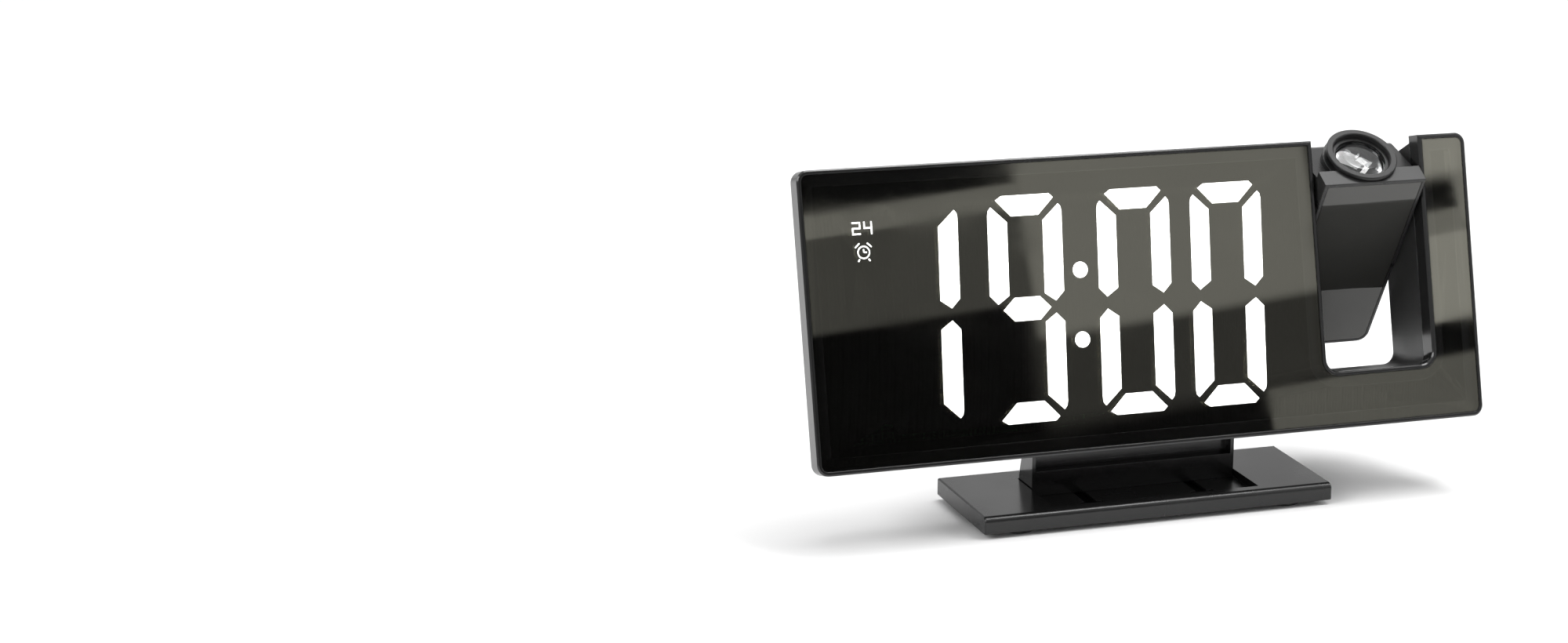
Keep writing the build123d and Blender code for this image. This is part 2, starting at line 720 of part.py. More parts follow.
def rear_cover():
    """Rear shell of the casing, with the notch's walls, screw wells, key holes and vents."""
    envelope = cover_block(0)
    envelope -= slab(notch_sketch(0), 0, CASE_D + OVERCUT)
    envelope -= swing_space()
    inside = cover_block(WALL)
    inside -= slab(notch_sketch(WALL), 0, CASE_D)
    inside -= rod_x(PIVOT_Y, PIVOT_Z, SWING_R + WALL, NOTCH_X0 - WALL, NOTCH_X1 + WALL)
    body = envelope - inside
    bosses = [rod_y(x, z, BOSS_R, POST_Y, CASE_D) for x, z, _, _ in CASING_POSTS]
    pivot_bosses = [
        rod_x(PIVOT_Y, PIVOT_Z, PIVOT_BOSS_R, NOTCH_X0 - WALL - PIVOT_BOSS_L, NOTCH_X0),
        rod_x(PIVOT_Y, PIVOT_Z, PIVOT_BOSS_R, NOTCH_X1, NOTCH_X1 + WALL + PIVOT_BOSS_L),
    ]
    body += [boss & envelope for boss in bosses + pivot_bosses]
    body += well_walls()
    body -= cell_space()
    seat_y = POST_Y + SCREW_SEAT
    for x, z, _, _ in CASING_POSTS:
        body -= rod_y(x, z, SCREW_WELL_R, seat_y, CASE_D + OVERCUT)
        body -= rod_y(x, z, SCREW_R + HOLE_GAP, POST_Y - OVERCUT, seat_y + OVERCUT)
    reach = WALL + PIVOT_BOSS_L
    body -= rod_x(PIVOT_Y, PIVOT_Z, BUSH_R, NOTCH_X0 - reach, NOTCH_X1 + reach)
    keys = Sketch() + [Pos(x, KEY_Z) * key_outline(KEY_GAP) for x in KEY_X]
    body -= slab(keys, BACK_INNER_Y - OVERCUT, CASE_D + OVERCUT)
    slot = Box(SNOOZE_W + 2 * KEY_GAP, SNOOZE_D + 2 * KEY_GAP, 2 * WALL + OVERCUT)
    body -= snooze_place() * slot
    body -= rod_y(SOCKET_X, SOCKET_Z, SOCKET_R - SOCKET_STEP + RUNNING_GAP, BACK_INNER_Y - OVERCUT, CASE_D)
    vent = SlotOverall(VENT_L, VENT_W)
    for i in range(VENT_COUNT):
        z = PIEZO_Z + (i - (VENT_COUNT - 1) / 2) * VENT_PITCH
        body -= slab(Pos(PIEZO_X, z) * vent, BACK_INNER_Y - OVERCUT, CASE_D + OVERCUT)
    x, z = door_corner()
    body -= rod_y(x, z, SMALL_SCREW_R, BACK_INNER_Y - CELL_T, CASE_D)
    level = CASE * body
    floor_top = NECK_TOP_Z + WALL
    y = neck_screw_y()
    for x in NECK_SCREW_X:
        level += rod_z(x, y, NECK_BOSS_R, NECK_TOP_Z + WALL / 2, floor_top + NECK_BOSS_H)
        level -= rod_z(x, y, SMALL_SCREW_R, NECK_TOP_Z - OVERCUT, floor_top + NECK_BOSS_H - NECK_HOLE_STOP)
    return level


def casing_envelope():
    """Outer form of the whole casing, for what seats against its underside."""
    return slab(panel_sketch(0), 0, FRAME_D) + cover_block(0)


def slotted_head(x, z, r, y0, y1):
    """Screw head facing the back, with a cross-shaped driver slot."""
    reach = SLOT_SHARE * r
    floor_y = (y0 + y1) / 2
    head = rod_y(x, z, r, y0, y1)
    head -= block(x - reach, x + reach, floor_y, y1, z - DRIVER_SLOT_W / 2, z + DRIVER_SLOT_W / 2)
    return head - block(x - DRIVER_SLOT_W / 2, x + DRIVER_SLOT_W / 2, floor_y, y1, z - reach, z + reach)


def casing_screws():
    """Six screws in the wells of the rear cover, threaded into the frame's posts."""
    seat_y = POST_Y + SCREW_SEAT
    screws = []
    for x, z, _, _ in CASING_POSTS:
        head = slotted_head(x, z, SCREW_HEAD_R, seat_y, seat_y + SCREW_HEAD_T)
        screws.append(head + rod_y(x, z, SCREW_R, FRAME_D, seat_y))
    return screws


# ---------------------------------------------------------------- boards and small parts
def spacer_places():
    """Places of the main board's spacers, in from its edges."""
    xs = (MAIN_X0 + SPACER_INSET, MAIN_X1 - SPACER_INSET)
    zs = (MAIN_Z0 + SPACER_INSET, MAIN_Z1 - SPACER_DROP)
    return [(x, z) for x in xs for z in zs]


def board_spacers():
    hole_y = DISPLAY_BOARD_Y1 + SPACER_END_T
    return [
        rod_y(x, z, SPACER_R, DISPLAY_BOARD_Y1, MAIN_Y0) - rod_y(x, z, SCREW_R, hole_y, MAIN_Y0)
        for x, z in spacer_places()
    ]


def main_board():
    """Clock board on four spacers behind the display board."""
    body = block(MAIN_X0, MAIN_X1, MAIN_Y0, MAIN_Y1, MAIN_Z0, MAIN_Z1)
    return body - [rod_y(x, z, SCREW_R + HOLE_GAP, MAIN_Y0, MAIN_Y1) for x, z in spacer_places()]


def board_screws():
    """Screws of the main board into its spacers, and of the display board into the well block."""
    screws = []
    for x, z in spacer_places():
        head = rod_y(x, z, BOARD_HEAD_R, MAIN_Y1, MAIN_Y1 + SMALL_HEAD_T)
        screws.append(head + rod_y(x, z, SCREW_R, DISPLAY_BOARD_Y1 + SPACER_SCREW_STOP, MAIN_Y1))
    for x, z in display_screw_places():
        head = rod_y(x, z, SMALL_HEAD_R, DISPLAY_BOARD_Y1, DISPLAY_BOARD_Y1 + SMALL_HEAD_T)
        screws.append(head + rod_y(x, z, SMALL_SCREW_R, WELL_Y1 - WELL_SCREW_L, DISPLAY_BOARD_Y1))
    return screws


def board_chips():
    """Clock chip, driver chips and round parts on the front of the main board."""
    parts = []
    for across, up, width, height, thickness in CHIPS:
        x = MAIN_X + across
        z = MAIN_Z + up
        middle = (x, MAIN_Y0 - thickness / 2, z)
        parts.append(Pos(*middle) * Box(width, thickness, height))
    for across, up, radius, height in CANS:
        parts.append(rod_y(MAIN_X + across, MAIN_Z + up, radius, MAIN_Y0 - height, MAIN_Y0))
    return parts


def wire_connector():
    """Plug of the projector's wires, on the front of the main board."""
    half = WIRE_R + PLUG_WALL
    return block(PLUG_X - PLUG_W, PLUG_X, PLUG_Y - half, MAIN_Y0, PLUG_Z - half, PLUG_Z + half)


def key_switches():
    """Tact switches on the board's back behind the keys, and one at its top for the snooze bar."""
    switches = []
    half = SWITCH_W / 2
    for x in KEY_X:
        body = block(x - half, x + half, MAIN_Y1, MAIN_Y1 + SWITCH_T, KEY_Z - half, KEY_Z + half)
        plunger_y = BACK_INNER_Y - KEY_FLANGE_T - 2 * KEY_TRAVEL
        switches.append(body + rod_y(x, KEY_Z, PLUNGER_R, MAIN_Y1, plunger_y))
    stem_end = snooze_place() * Pos(0, 0, -WALL - SNOOZE_STEM_L - SNOOZE_TRAVEL - END_GAP)
    y = stem_end.position.Y
    z = stem_end.position.Z
    body = block(-half, half, y - half / 2, MAIN_Y0, z - SWITCH_W, z - PLUNGER_R / 2)
    switches.append(body + rod_z(0, y, PLUNGER_R / 2, z - SWITCH_W, z))
    return switches


def dc_socket():
    """Panel power inlet: flange outside, barrel through the cover, centre pin in its bore."""
    floor_y = CASE_D - SOCKET_DEPTH
    body = rod_y(SOCKET_X, SOCKET_Z, SOCKET_R + SOCKET_STEP, CASE_D, CASE_D + SOCKET_FLANGE_T)
    body += rod_y(SOCKET_X, SOCKET_Z, SOCKET_R - SOCKET_STEP, BACK_INNER_Y, CASE_D)
    body += rod_y(SOCKET_X, SOCKET_Z, SOCKET_R, floor_y - SOCKET_FLOOR_T, BACK_INNER_Y)
    body -= rod_y(SOCKET_X, SOCKET_Z, SOCKET_BORE_R, floor_y, CASE_D + SOCKET_FLANGE_T)
    body += rod_y(SOCKET_X, SOCKET_Z, SOCKET_PIN_R, floor_y, CASE_D - SOCKET_PIN_SET)
    return body


def piezo_sounder():
    """Alarm sounder against the cover's vents."""
    body = rod_y(PIEZO_X, PIEZO_Z, PIEZO_R, BACK_INNER_Y - PIEZO_T, BACK_INNER_Y)
    return body - rod_y(PIEZO_X, PIEZO_Z, PIEZO_R - PIEZO_RIM, BACK_INNER_Y - PIEZO_T / 2, BACK_INNER_Y)


def backup_cell():
    """Coin cell with its smaller negative face towards the board."""
    y1 = BACK_INNER_Y
    y0 = y1 - CELL_T
    step_y = y0 + 2 * CONTACT_T
    can = rod_y(CELL_X, CELL_Z, CELL_R, step_y, y1)
    return can + rod_y(CELL_X, CELL_Z, CELL_R - CELL_CRIMP, y0, step_y)


def cell_contacts():
    """Flat leaf under the cell and an upright leaf beside it."""
    y0 = CELL_FLOOR_Y
    half = CONTACT_W / 2
    reach = CELL_R - CONTACT_INSET
    under = block(CELL_X - half, CELL_X + half, y0, y0 + CONTACT_T, CELL_Z - reach, CELL_Z + half)
    edge_x = CELL_X - CELL_WELL / 2
    beside = block(edge_x, edge_x + CONTACT_T, y0, BACK_INNER_Y, CELL_Z - half, CELL_Z + half)
    return [under, beside]


def battery_door():
    """Flat door over the cell's well, with a countersunk screw hole and a finger notch."""
    half = DOOR_W / 2
    y0 = CASE_D - DOOR_T
    x, z = door_corner()
    door = block(CELL_X - half, CELL_X + half, y0, CASE_D, CELL_Z - half, CELL_Z + half)
    door = chamfer(door.edges().filter_by(Axis.Y), 3 * DOOR_GAP)
    door -= rod_y(x, z, SMALL_SCREW_R + HOLE_GAP, y0, CASE_D)
    door -= rod_y(x, z, SMALL_HEAD_R + HOLE_GAP, CASE_D - SMALL_HEAD_T, CASE_D)
    nail = DOOR_W / 6
    low = CELL_Z - half
    return door - block(CELL_X - nail, CELL_X + nail, CASE_D - DOOR_T / 3, CASE_D, low, low + DOOR_T)


def battery_door_screw():
    x, z = door_corner()
    y1 = CASE_D - SMALL_HEAD_T
    head = slotted_head(x, z, SMALL_HEAD_R, y1, CASE_D - HEAD_SINK)
    return head + rod_y(x, z, SMALL_SCREW_R, BACK_INNER_Y - CELL_T / 2, y1)


def rear_key(x):
    """Oval key with a flange that keeps it behind the cover's wall."""
    flange_y1 = BACK_INNER_Y - END_GAP / 2
    cap = slab(Pos(x, KEY_Z) * key_outline(0), flange_y1 - KEY_FLANGE_T, CASE_D + KEY_PROUD)
    cap = fillet(cap.faces().sort_by(Axis.Y)[-1].edges(), KEY_PROUD / 2)
    return cap + slab(Pos(x, KEY_Z) * key_outline(KEY_FLANGE), flange_y1 - KEY_FLANGE_T, flange_y1)


def snooze_bar():
    """Long key in the leaning top of the cover, with a flange and a stem to its switch."""
    flange_top = -WALL - END_GAP
    cap = Pos(0, 0, (SNOOZE_PROUD + flange_top) / 2) * Box(SNOOZE_W, SNOOZE_D, SNOOZE_PROUD - flange_top)
    cap = fillet(cap.edges().filter_by(Axis.Z), SNOOZE_D / 4)
    cap = fillet(cap.faces().sort_by(Axis.Z)[-1].edges(), SNOOZE_PROUD / 2)
    flange = Box(SNOOZE_W + 2 * SNOOZE_FLANGE, SNOOZE_D + 2 * SNOOZE_FLANGE, SNOOZE_FLANGE_T)
    cap += Pos(0, 0, flange_top - SNOOZE_FLANGE_T / 2) * flange
    stem_bottom = -WALL - SNOOZE_STEM_L
    stem = Box(SNOOZE_STEM_W, SNOOZE_STEM_W / 2, flange_top - stem_bottom)
    return snooze_place() * (cap + Pos(0, 0, (flange_top + stem_bottom) / 2) * stem)


# ---------------------------------------------------------------- projector pivot
def pivot_sides():
    """Notch wall, arm side and outward direction, left then right."""
    return ((NOTCH_X0, ARM_X0, -1), (NOTCH_X1, ARM_X1, 1))


def pivot_bushes():
    """Flanged bushes in the notch's walls."""
    bushes = []
    for wall_x, _, out in pivot_sides():
        end_x = wall_x + out * (WALL + PIVOT_BOSS_L)
        flange_x = wall_x - out * BUSH_FLANGE_T
        bush = rod_x(PIVOT_Y, PIVOT_Z, BUSH_R, wall_x, end_x)
        bush += rod_x(PIVOT_Y, PIVOT_Z, BUSH_FLANGE_R, wall_x, flange_x)
        bush -= rod_x(PIVOT_Y, PIVOT_Z, SHAFT_R + RUNNING_GAP, flange_x, end_x)
        bushes.append(bush)
    return bushes


def pivot_washers():
    """Thin spring washers between the bushes and the arm, which give the pivot its drag."""
    washers = []
    for wall_x, _, out in pivot_sides():
        x0 = wall_x - out * BUSH_FLANGE_T
        x1 = x0 - out * WASHER_T
        ring = rod_x(PIVOT_Y, PIVOT_Z, BUSH_FLANGE_R, x0, x1)
        washers.append(ring - rod_x(PIVOT_Y, PIVOT_Z, SHAFT_R + HOLE_GAP, x0, x1))
    return washers


def pivot_shafts():
    """Hollow stub shafts fixed in the arm's sides, in the arm frame."""
    shafts = []
    for wall_x, arm_x, out in pivot_sides():
        inner_x = arm_x - out * ARM_WALL
        end_x = wall_x + out * (WALL + PIVOT_BOSS_L + END_GAP + CLIP_T + SHAFT_END_L)
        shaft = rod_x(0, 0, SHAFT_R, inner_x, end_x)
        shaft += rod_x(0, 0, SHAFT_FLANGE_R, inner_x, inner_x - out * SHAFT_FLANGE_T)
        shaft -= rod_x(0, 0, SHAFT_BORE_R, inner_x - out * 2 * SHAFT_FLANGE_T, end_x + out)
        shafts.append(shaft)
    return shafts


def pivot_clips():
    """Retaining rings on the shafts' ends inside the casing, in the arm frame."""
    clips = []
    for wall_x, _, out in pivot_sides():
        x0 = wall_x + out * (WALL + PIVOT_BOSS_L + END_GAP)
        x1 = x0 + out * CLIP_T
        clips.append(rod_x(0, 0, CLIP_R, x0, x1) - rod_x(0, 0, SHAFT_R, x0, x1))
    return clips


def projector_wires():
    """Wire bundle from the board's plug through the left pivot into the arm."""
    turn_x = NOTCH_X0 - WALL - 4 * WIRE_R
    points = [
        (ARM_X0 + ARM_WALL + WIRE_R, PIVOT_Y, PIVOT_Z),
        (turn_x, PIVOT_Y, PIVOT_Z),
        (turn_x - WIRE_R, PLUG_Y, PLUG_Z),
        (PLUG_X, PLUG_Y, PLUG_Z),
    ]
    path = FilletPolyline(*points, radius=2 * WIRE_R)
    section = Plane(origin=path @ 0, z_dir=path % 0) * Circle(WIRE_R)
    return sweep(section, path=path)


# ---------------------------------------------------------------- projector arm (arm frame)
def arm_profile():
    """Side outline of the arm: it carries the casing's section across the notch, thinner at its tail."""
    front = -PIVOT_Y
    step = FRAME_D - PIVOT_Y
    back = CASE_D - PIVOT_Y
    shoulder = ARM_TOP - COVER_INSET
    shoulder_back = shoulder - COVER_LEAN * (CASE_D - FRAME_D)
    return [
        (front, ARM_BOTTOM),
        (front, ARM_TOP),
        (step, ARM_TOP),
        (step, shoulder),
        (back, shoulder_back),
        (back, ARM_KNEE),
        (ARM_TAIL_D - PIVOT_Y, ARM_BOTTOM),
    ]


def arm_envelope():
    """Outer form of the arm with its rounded corners."""
    body = prism_x(arm_profile(), ARM_X0, ARM_X1)
    back = CASE_D - PIVOT_Y
    shoulder_z = ARM_TOP - COVER_INSET - COVER_LEAN * (CASE_D - FRAME_D)
    body = fillet(edges_at(body, back, shoulder_z), COVER_BACK_R)
    body = fillet(edges_at(body, back, ARM_KNEE), 2 * COVER_BACK_R)
    low = body.faces().sort_by(Axis.Z)[0]
    corners = [e for e in low.edges() if abs(e.tangent_at(0).Y) > 0.9]
    body = fillet(corners, ARM_CORNER_R)
    front = body.faces().sort_by(Axis.Y)[0]
    return chamfer(front.edges(), RIM_CHAMFER / 2)


def edges_at(body, y, z):
    """Edges along X that lie at y and z."""
    edges = [e for e in body.edges().filter_by(Axis.X) if abs(e.center().Y - y) < PICK_REACH]
    return [e for e in edges if abs(e.center().Z - z) < PICK_REACH]


def behind_back():
    """Everything behind the inner face of the arm's back cover."""
    y = CASE_D - PIVOT_Y - ARM_BACK_T
    run = (CASE_D - ARM_TAIL_D) / (ARM_KNEE - ARM_BOTTOM)
    knee_z = ARM_KNEE - ARM_BACK_T * run / 2
    low_z = ARM_BOTTOM - ARM_BACK_T
    low_y = y - run * (knee_z - low_z)
    points = [(y, FAR), (y, knee_z), (low_y, low_z), (FAR, low_z), (FAR, FAR)]
    return prism_x(points, ARM_X0, ARM_X1)


def plate_space(gap, y1):
    """Recess of the arm's mirror plate, or the plate itself with a gap all round."""
    inset = PLATE_RIM + gap
    width = ARM_X1 - ARM_X0 - 2 * inset
    height = ARM_TOP - ARM_BOTTOM - 2 * inset
    middle = Pos((ARM_X0 + ARM_X1) / 2, (ARM_TOP + ARM_BOTTOM) / 2)
    sketch = middle * Rectangle(width, height)
    low = sketch.vertices().sort_by(Axis.Y)[:2]
    sketch = fillet(low, PLATE_CORNER_R - gap)
    return slab(sketch, -PIVOT_Y + (PLATE_SET if gap else -1), y1)


def arm_screw_places():
    return [(x, ARM_SCREW_Z) for x in (ARM_X0 + ARM_SCREW_INSET, ARM_X1 - ARM_SCREW_INSET)]


def arm_cavity():
    """Hollow of the arm, open towards its back cover."""
    front = ARM_INNER_Y
    step = FRAME_D - PIVOT_Y
    back = CASE_D - PIVOT_Y
    ceiling = ARM_TOP - COVER_INSET - WALL
    ceiling_back = ceiling - COVER_LEAN * (CASE_D - FRAME_D)
    floor = ARM_BOTTOM + ARM_WALL
    points = [(front, floor), (front, ceiling), (step, ceiling), (back, ceiling_back), (back, floor)]
    return prism_x(points, ARM_X0 + ARM_WALL, ARM_X1 - ARM_WALL)


def projector_housing():
    """Arm shell: front, sides, top with the focus barrel and its collar, and screw bosses."""
    envelope = arm_envelope()
    front = -PIVOT_Y + PLATE_SET + PLATE_T
    step = FRAME_D - PIVOT_Y
    body = envelope - arm_cavity()
    barrel_r = SLEEVE_R + BARREL_GAP + BARREL_WALL
    barrel = rod_z(FOCUS_X, FOCUS_Y, barrel_r, SLEEVE_BOTTOM - LENS_CELL_FOOT_T, ARM_TOP)
    body += barrel & envelope
    for x, z in arm_screw_places():
        body += rod_y(x, z, ARM_BOSS_R, front, CASE_D - PIVOT_Y - ARM_BACK_T)
    body -= behind_back()
    collar = rod_z(FOCUS_X, FOCUS_Y, COLLAR_R, 0, COLLAR_TOP)
    collar &= block(ARM_X0, ARM_X1, step, CASE_D, ARM_TOP - 2 * COVER_INSET - COLLAR_FOOT_H, COLLAR_TOP)
    body += collar - arm_cavity()
    body -= rod_z(FOCUS_X, FOCUS_Y, SLEEVE_R + BARREL_GAP, SLEEVE_BOTTOM - BORE_RELIEF, ARM_TOP + OVERCUT)
    body -= plate_space(0, front)
    body -= rod_x(0, 0, SHAFT_R, ARM_X0 - OVERCUT, ARM_X1 + OVERCUT)
    for x, z in arm_screw_places():
        body -= rod_y(x, z, SMALL_SCREW_R, front + ARM_HOLE_STOP, CASE_D)
    return body


def projector_mirror():
    """Mirror plate on the arm's front, flush with the panel when the arm is upright."""
    return plate_space(LENS_GAP, -PIVOT_Y + PLATE_SET + PLATE_T)


def projector_back_cover():
    """Cover of the arm's back, bent at the knee, with screw seats."""
    body = arm_envelope() & behind_back()
    back = CASE_D - PIVOT_Y
    for x, z in arm_screw_places():
        body -= rod_y(x, z, SMALL_SCREW_R + HOLE_GAP, back - ARM_SCREW_L, back)
        body -= rod_y(x, z, SMALL_HEAD_R + HOLE_GAP, back - SMALL_HEAD_T, back)
    return body


def projector_screws():
    back = CASE_D - PIVOT_Y
    screws = []
    for x, z in arm_screw_places():
        head = slotted_head(x, z, SMALL_HEAD_R, back - SMALL_HEAD_T, back - HEAD_SINK)
        screws.append(head + rod_y(x, z, SMALL_SCREW_R, back - ARM_SCREW_L, back - SMALL_HEAD_T))
    return screws


def light_box():
    """Square tube for the image slide and the condenser over the lamp, with a foot on the arm's front."""
    half = LIGHT_BOX_W / 2
    inner = half - LIGHT_BOX_WALL
    x, y = FOCUS_X, FOCUS_Y
    z0 = LIGHT_BOX_TOP - LIGHT_BOX_L
    body = block(x - half, x + half, ARM_INNER_Y, y + half, z0, LIGHT_BOX_TOP)
    return body - block(x - inner, x + inner, y - inner, y + inner, z0, LIGHT_BOX_TOP)


def image_slide():
    """Small liquid-crystal window across the light box."""
    half = LIGHT_BOX_W / 2 - LIGHT_BOX_WALL
    z1 = LIGHT_BOX_TOP - SLIDE_DROP
    return block(FOCUS_X - half, FOCUS_X + half, FOCUS_Y - half, FOCUS_Y + half, z1 - SLIDE_T, z1)


def condenser_lens():
    """Flat-backed lens that gathers the lamp's light."""
    z0 = LIGHT_BOX_TOP - LIGHT_BOX_L + LAMP_T + CONDENSER_GAP
    edge = rod_z(FOCUS_X, FOCUS_Y, CONDENSER_R, z0, z0 + CONDENSER_EDGE)
    return edge + spherical_cap(CONDENSER_R, CONDENSER_SAG, FOCUS_X, FOCUS_Y, z0 + CONDENSER_EDGE, 1)


def projector_led_board():
    half = LIGHT_BOX_W / 2
    z1 = LIGHT_BOX_TOP - LIGHT_BOX_L
    return block(FOCUS_X - half, FOCUS_X + half, FOCUS_Y - half, FOCUS_Y + half, z1 - BOARD_T, z1)


def projector_led():
    half = LAMP_W / 2
    z0 = LIGHT_BOX_TOP - LIGHT_BOX_L
    z1 = z0 + LAMP_T - LAMP_DOME_H
    body = block(FOCUS_X - half, FOCUS_X + half, FOCUS_Y - half, FOCUS_Y + half, z0, z1)
    return body + spherical_cap(half - LAMP_DOME_INSET, LAMP_DOME_H, FOCUS_X, FOCUS_Y, z1, 1)


# ---------------------------------------------------------------- focus (arm frame)
def focus_ring():
    """Flanged ring with a grooved sleeve, which screws in the arm's collar."""
    points = [
        (RING_BORE_R, SLEEVE_BOTTOM),
        (SLEEVE_R, SLEEVE_BOTTOM),
        (SLEEVE_R, RING_SEAT),
        (RING_R, RING_SEAT),
        (RING_R, RING_TOP - RING_EDGE),
        (RING_R - RING_EDGE, RING_TOP),
        (RING_BORE_R + RING_BORE_EDGE, RING_TOP),
        (RING_BORE_R, RING_TOP - RING_BORE_EDGE),
    ]
    body = ring_of(points, FOCUS_X, FOCUS_Y)
    grooves = int((SLEEVE_L - THREAD_PITCH) / THREAD_PITCH)
    for i in range(grooves):
        z = SLEEVE_BOTTOM + THREAD_PITCH * (i + 0.75)
        root = SLEEVE_R - THREAD_DEPTH
        groove = [
            (root, z - THREAD_PITCH / 10),
            (SLEEVE_R + OVERCUT, z - THREAD_PITCH / 2),
            (SLEEVE_R + OVERCUT, z + THREAD_PITCH / 2),
            (root, z + THREAD_PITCH / 10),
        ]
        body -= ring_of(groove, FOCUS_X, FOCUS_Y)
    return body


def lens_cell():
    """Cell of the projection lens, turned on by the ring, which carries it up and down."""
    outer = RING_BORE_R - CELL_WALL_GAP
    foot_r = SLEEVE_R - CELL_WALL_GAP
    top = GLASS_EDGE_TOP + RETAINER_RISE
    foot_top = SLEEVE_BOTTOM - CELL_WALL_GAP
    seat = GLASS_EDGE_TOP - GLASS_EDGE
    points = [
        (LENS_CELL_BORE_R, foot_top - LENS_CELL_FOOT_T),
        (foot_r, foot_top - LENS_CELL_FOOT_T),
        (foot_r, foot_top),
        (outer, foot_top),
        (outer, top),
        (GLASS_R + CELL_WALL_GAP / 2, top),
        (GLASS_R + CELL_WALL_GAP / 2, seat),
        (LENS_CELL_BORE_R, seat),
    ]
    return ring_of(points, FOCUS_X, FOCUS_Y)


def dome_rise(r):
    """Height of the lens's upper dome over its edge, at radius r."""
    curve_r = (GLASS_R * GLASS_R + GLASS_TOP_SAG * GLASS_TOP_SAG) / (2 * GLASS_TOP_SAG)
    return sqrt(curve_r * curve_r - r * r) - (curve_r - GLASS_TOP_SAG)


RETAINER_RISE = dome_rise(RETAINER_BORE_R) + RETAINER_GAP


def projection_lens():
    """Double-domed glass lens."""
    z0 = GLASS_EDGE_TOP - GLASS_EDGE
    edge = rod_z(FOCUS_X, FOCUS_Y, GLASS_R, z0, GLASS_EDGE_TOP)
    upper = spherical_cap(GLASS_R, GLASS_TOP_SAG, FOCUS_X, FOCUS_Y, GLASS_EDGE_TOP, 1)
    lower = spherical_cap(LENS_CELL_BORE_R - GLASS_LOW_INSET, GLASS_LOW_SAG, FOCUS_X, FOCUS_Y, z0, -1)
    return edge + upper + lower


def lens_retainer():
    """Thin ring over the lens's edge."""
    z0 = GLASS_EDGE_TOP + RETAINER_RISE
    outer = RING_BORE_R - CELL_WALL_GAP
    body = rod_z(FOCUS_X, FOCUS_Y, outer, z0, z0 + RETAINER_T)
    return body - rod_z(FOCUS_X, FOCUS_Y, RETAINER_BORE_R, z0, z0 + RETAINER_T)


# ---------------------------------------------------------------- stand (level frame)
def neck_screw_y():
    return NECK_Y0 + NECK_POCKET_D / 2


def stand_neck():
    """Neck: thin cheeks, a front plate with a dark pocket over it, and two hooks under its foot."""
    half = NECK_W / 2
    top = NECK_TOP_Z + NECK_REACH
    knee_z = BASE_TOP + NECK_FOOT_RISE
    points = [
        (NECK_Y0, RECESS_FLOOR),
        (NECK_Y0, top),
        (NECK_Y0 + NECK_TOP_D, top),
        (NECK_Y1, knee_z),
        (NECK_Y1, RECESS_FLOOR),
    ]
    body = prism_x(points, -half, half)
    body = fillet(edges_at(body, NECK_Y1, knee_z), NECK_BACK_R)
    inner = half - CHEEK_T
    plate_top = RECESS_FLOOR + NECK_PLATE_H
    ceiling = NECK_TOP_Z - NECK_CEILING_T
    body -= block(-inner, inner, NECK_Y0 - OVERCUT, NECK_Y0 + NECK_POCKET_D, plate_top, ceiling)
    body -= CASE * casing_envelope()
    y = neck_screw_y()
    body -= [rod_z(x, y, SMALL_SCREW_R + HOLE_GAP, ceiling - OVERCUT, top + OVERCUT) for x in NECK_SCREW_X]
    for x in (-HOOK_X, HOOK_X):
        body += hook(x, HOOK_STEM_W / 2, HOOK_D, RECESS_FLOOR, hook_head_top())
        body += hook(x, HOOK_HEAD_W / 2, HOOK_D, hook_head_top(), hook_head_top() - HOOK_HEAD_T)
    return body


def hook_head_top():
    return RECESS_FLOOR - RECESS_FLOOR_T - HOOK_GAP


def hook(x, half, depth, z0, z1):
    """Part of a hook, centred under the neck's foot."""
    y = (NECK_Y0 + NECK_Y1) / 2
    return block(x - half, x + half, y - depth / 2, y + depth / 2, z0, z1)


def neck_screws():
    """Screws in the pocket's ceiling, up into the rear cover's bosses."""
    ceiling = NECK_TOP_Z - NECK_CEILING_T
    tip = NECK_TOP_Z + WALL + NECK_BOSS_H - NECK_SCREW_STOP
    y = neck_screw_y()
    screws = []
    for x in NECK_SCREW_X:
        head = rod_z(x, y, SMALL_HEAD_R, ceiling - SMALL_HEAD_T, ceiling)
        screws.append(head + rod_z(x, y, SMALL_SCREW_R, ceiling, tip))
    return screws


def base_pockets():
    """Hollows left and right of the neck's recess, for the ballast."""
    half = BASE_W / 2 - BASE_WALL
    inner = NECK_W / 2 + RECESS_GAP + BASE_WALL
    y0 = BASE_Y0 + BASE_WALL
    y1 = BASE_Y1 - BASE_WALL
    top = BASE_TOP - BASE_WALL
    return [block(side * inner, side * half, y0, y1, BASE_BOTTOM, top) for side in (-1, 1)]


def base_screw_places():
    ys = (BASE_Y0 + BASE_SCREW_INSET, BASE_Y1 - BASE_SCREW_INSET)
    return [(side * BASE_SCREW_X, y) for side in (-1, 1) for y in ys]


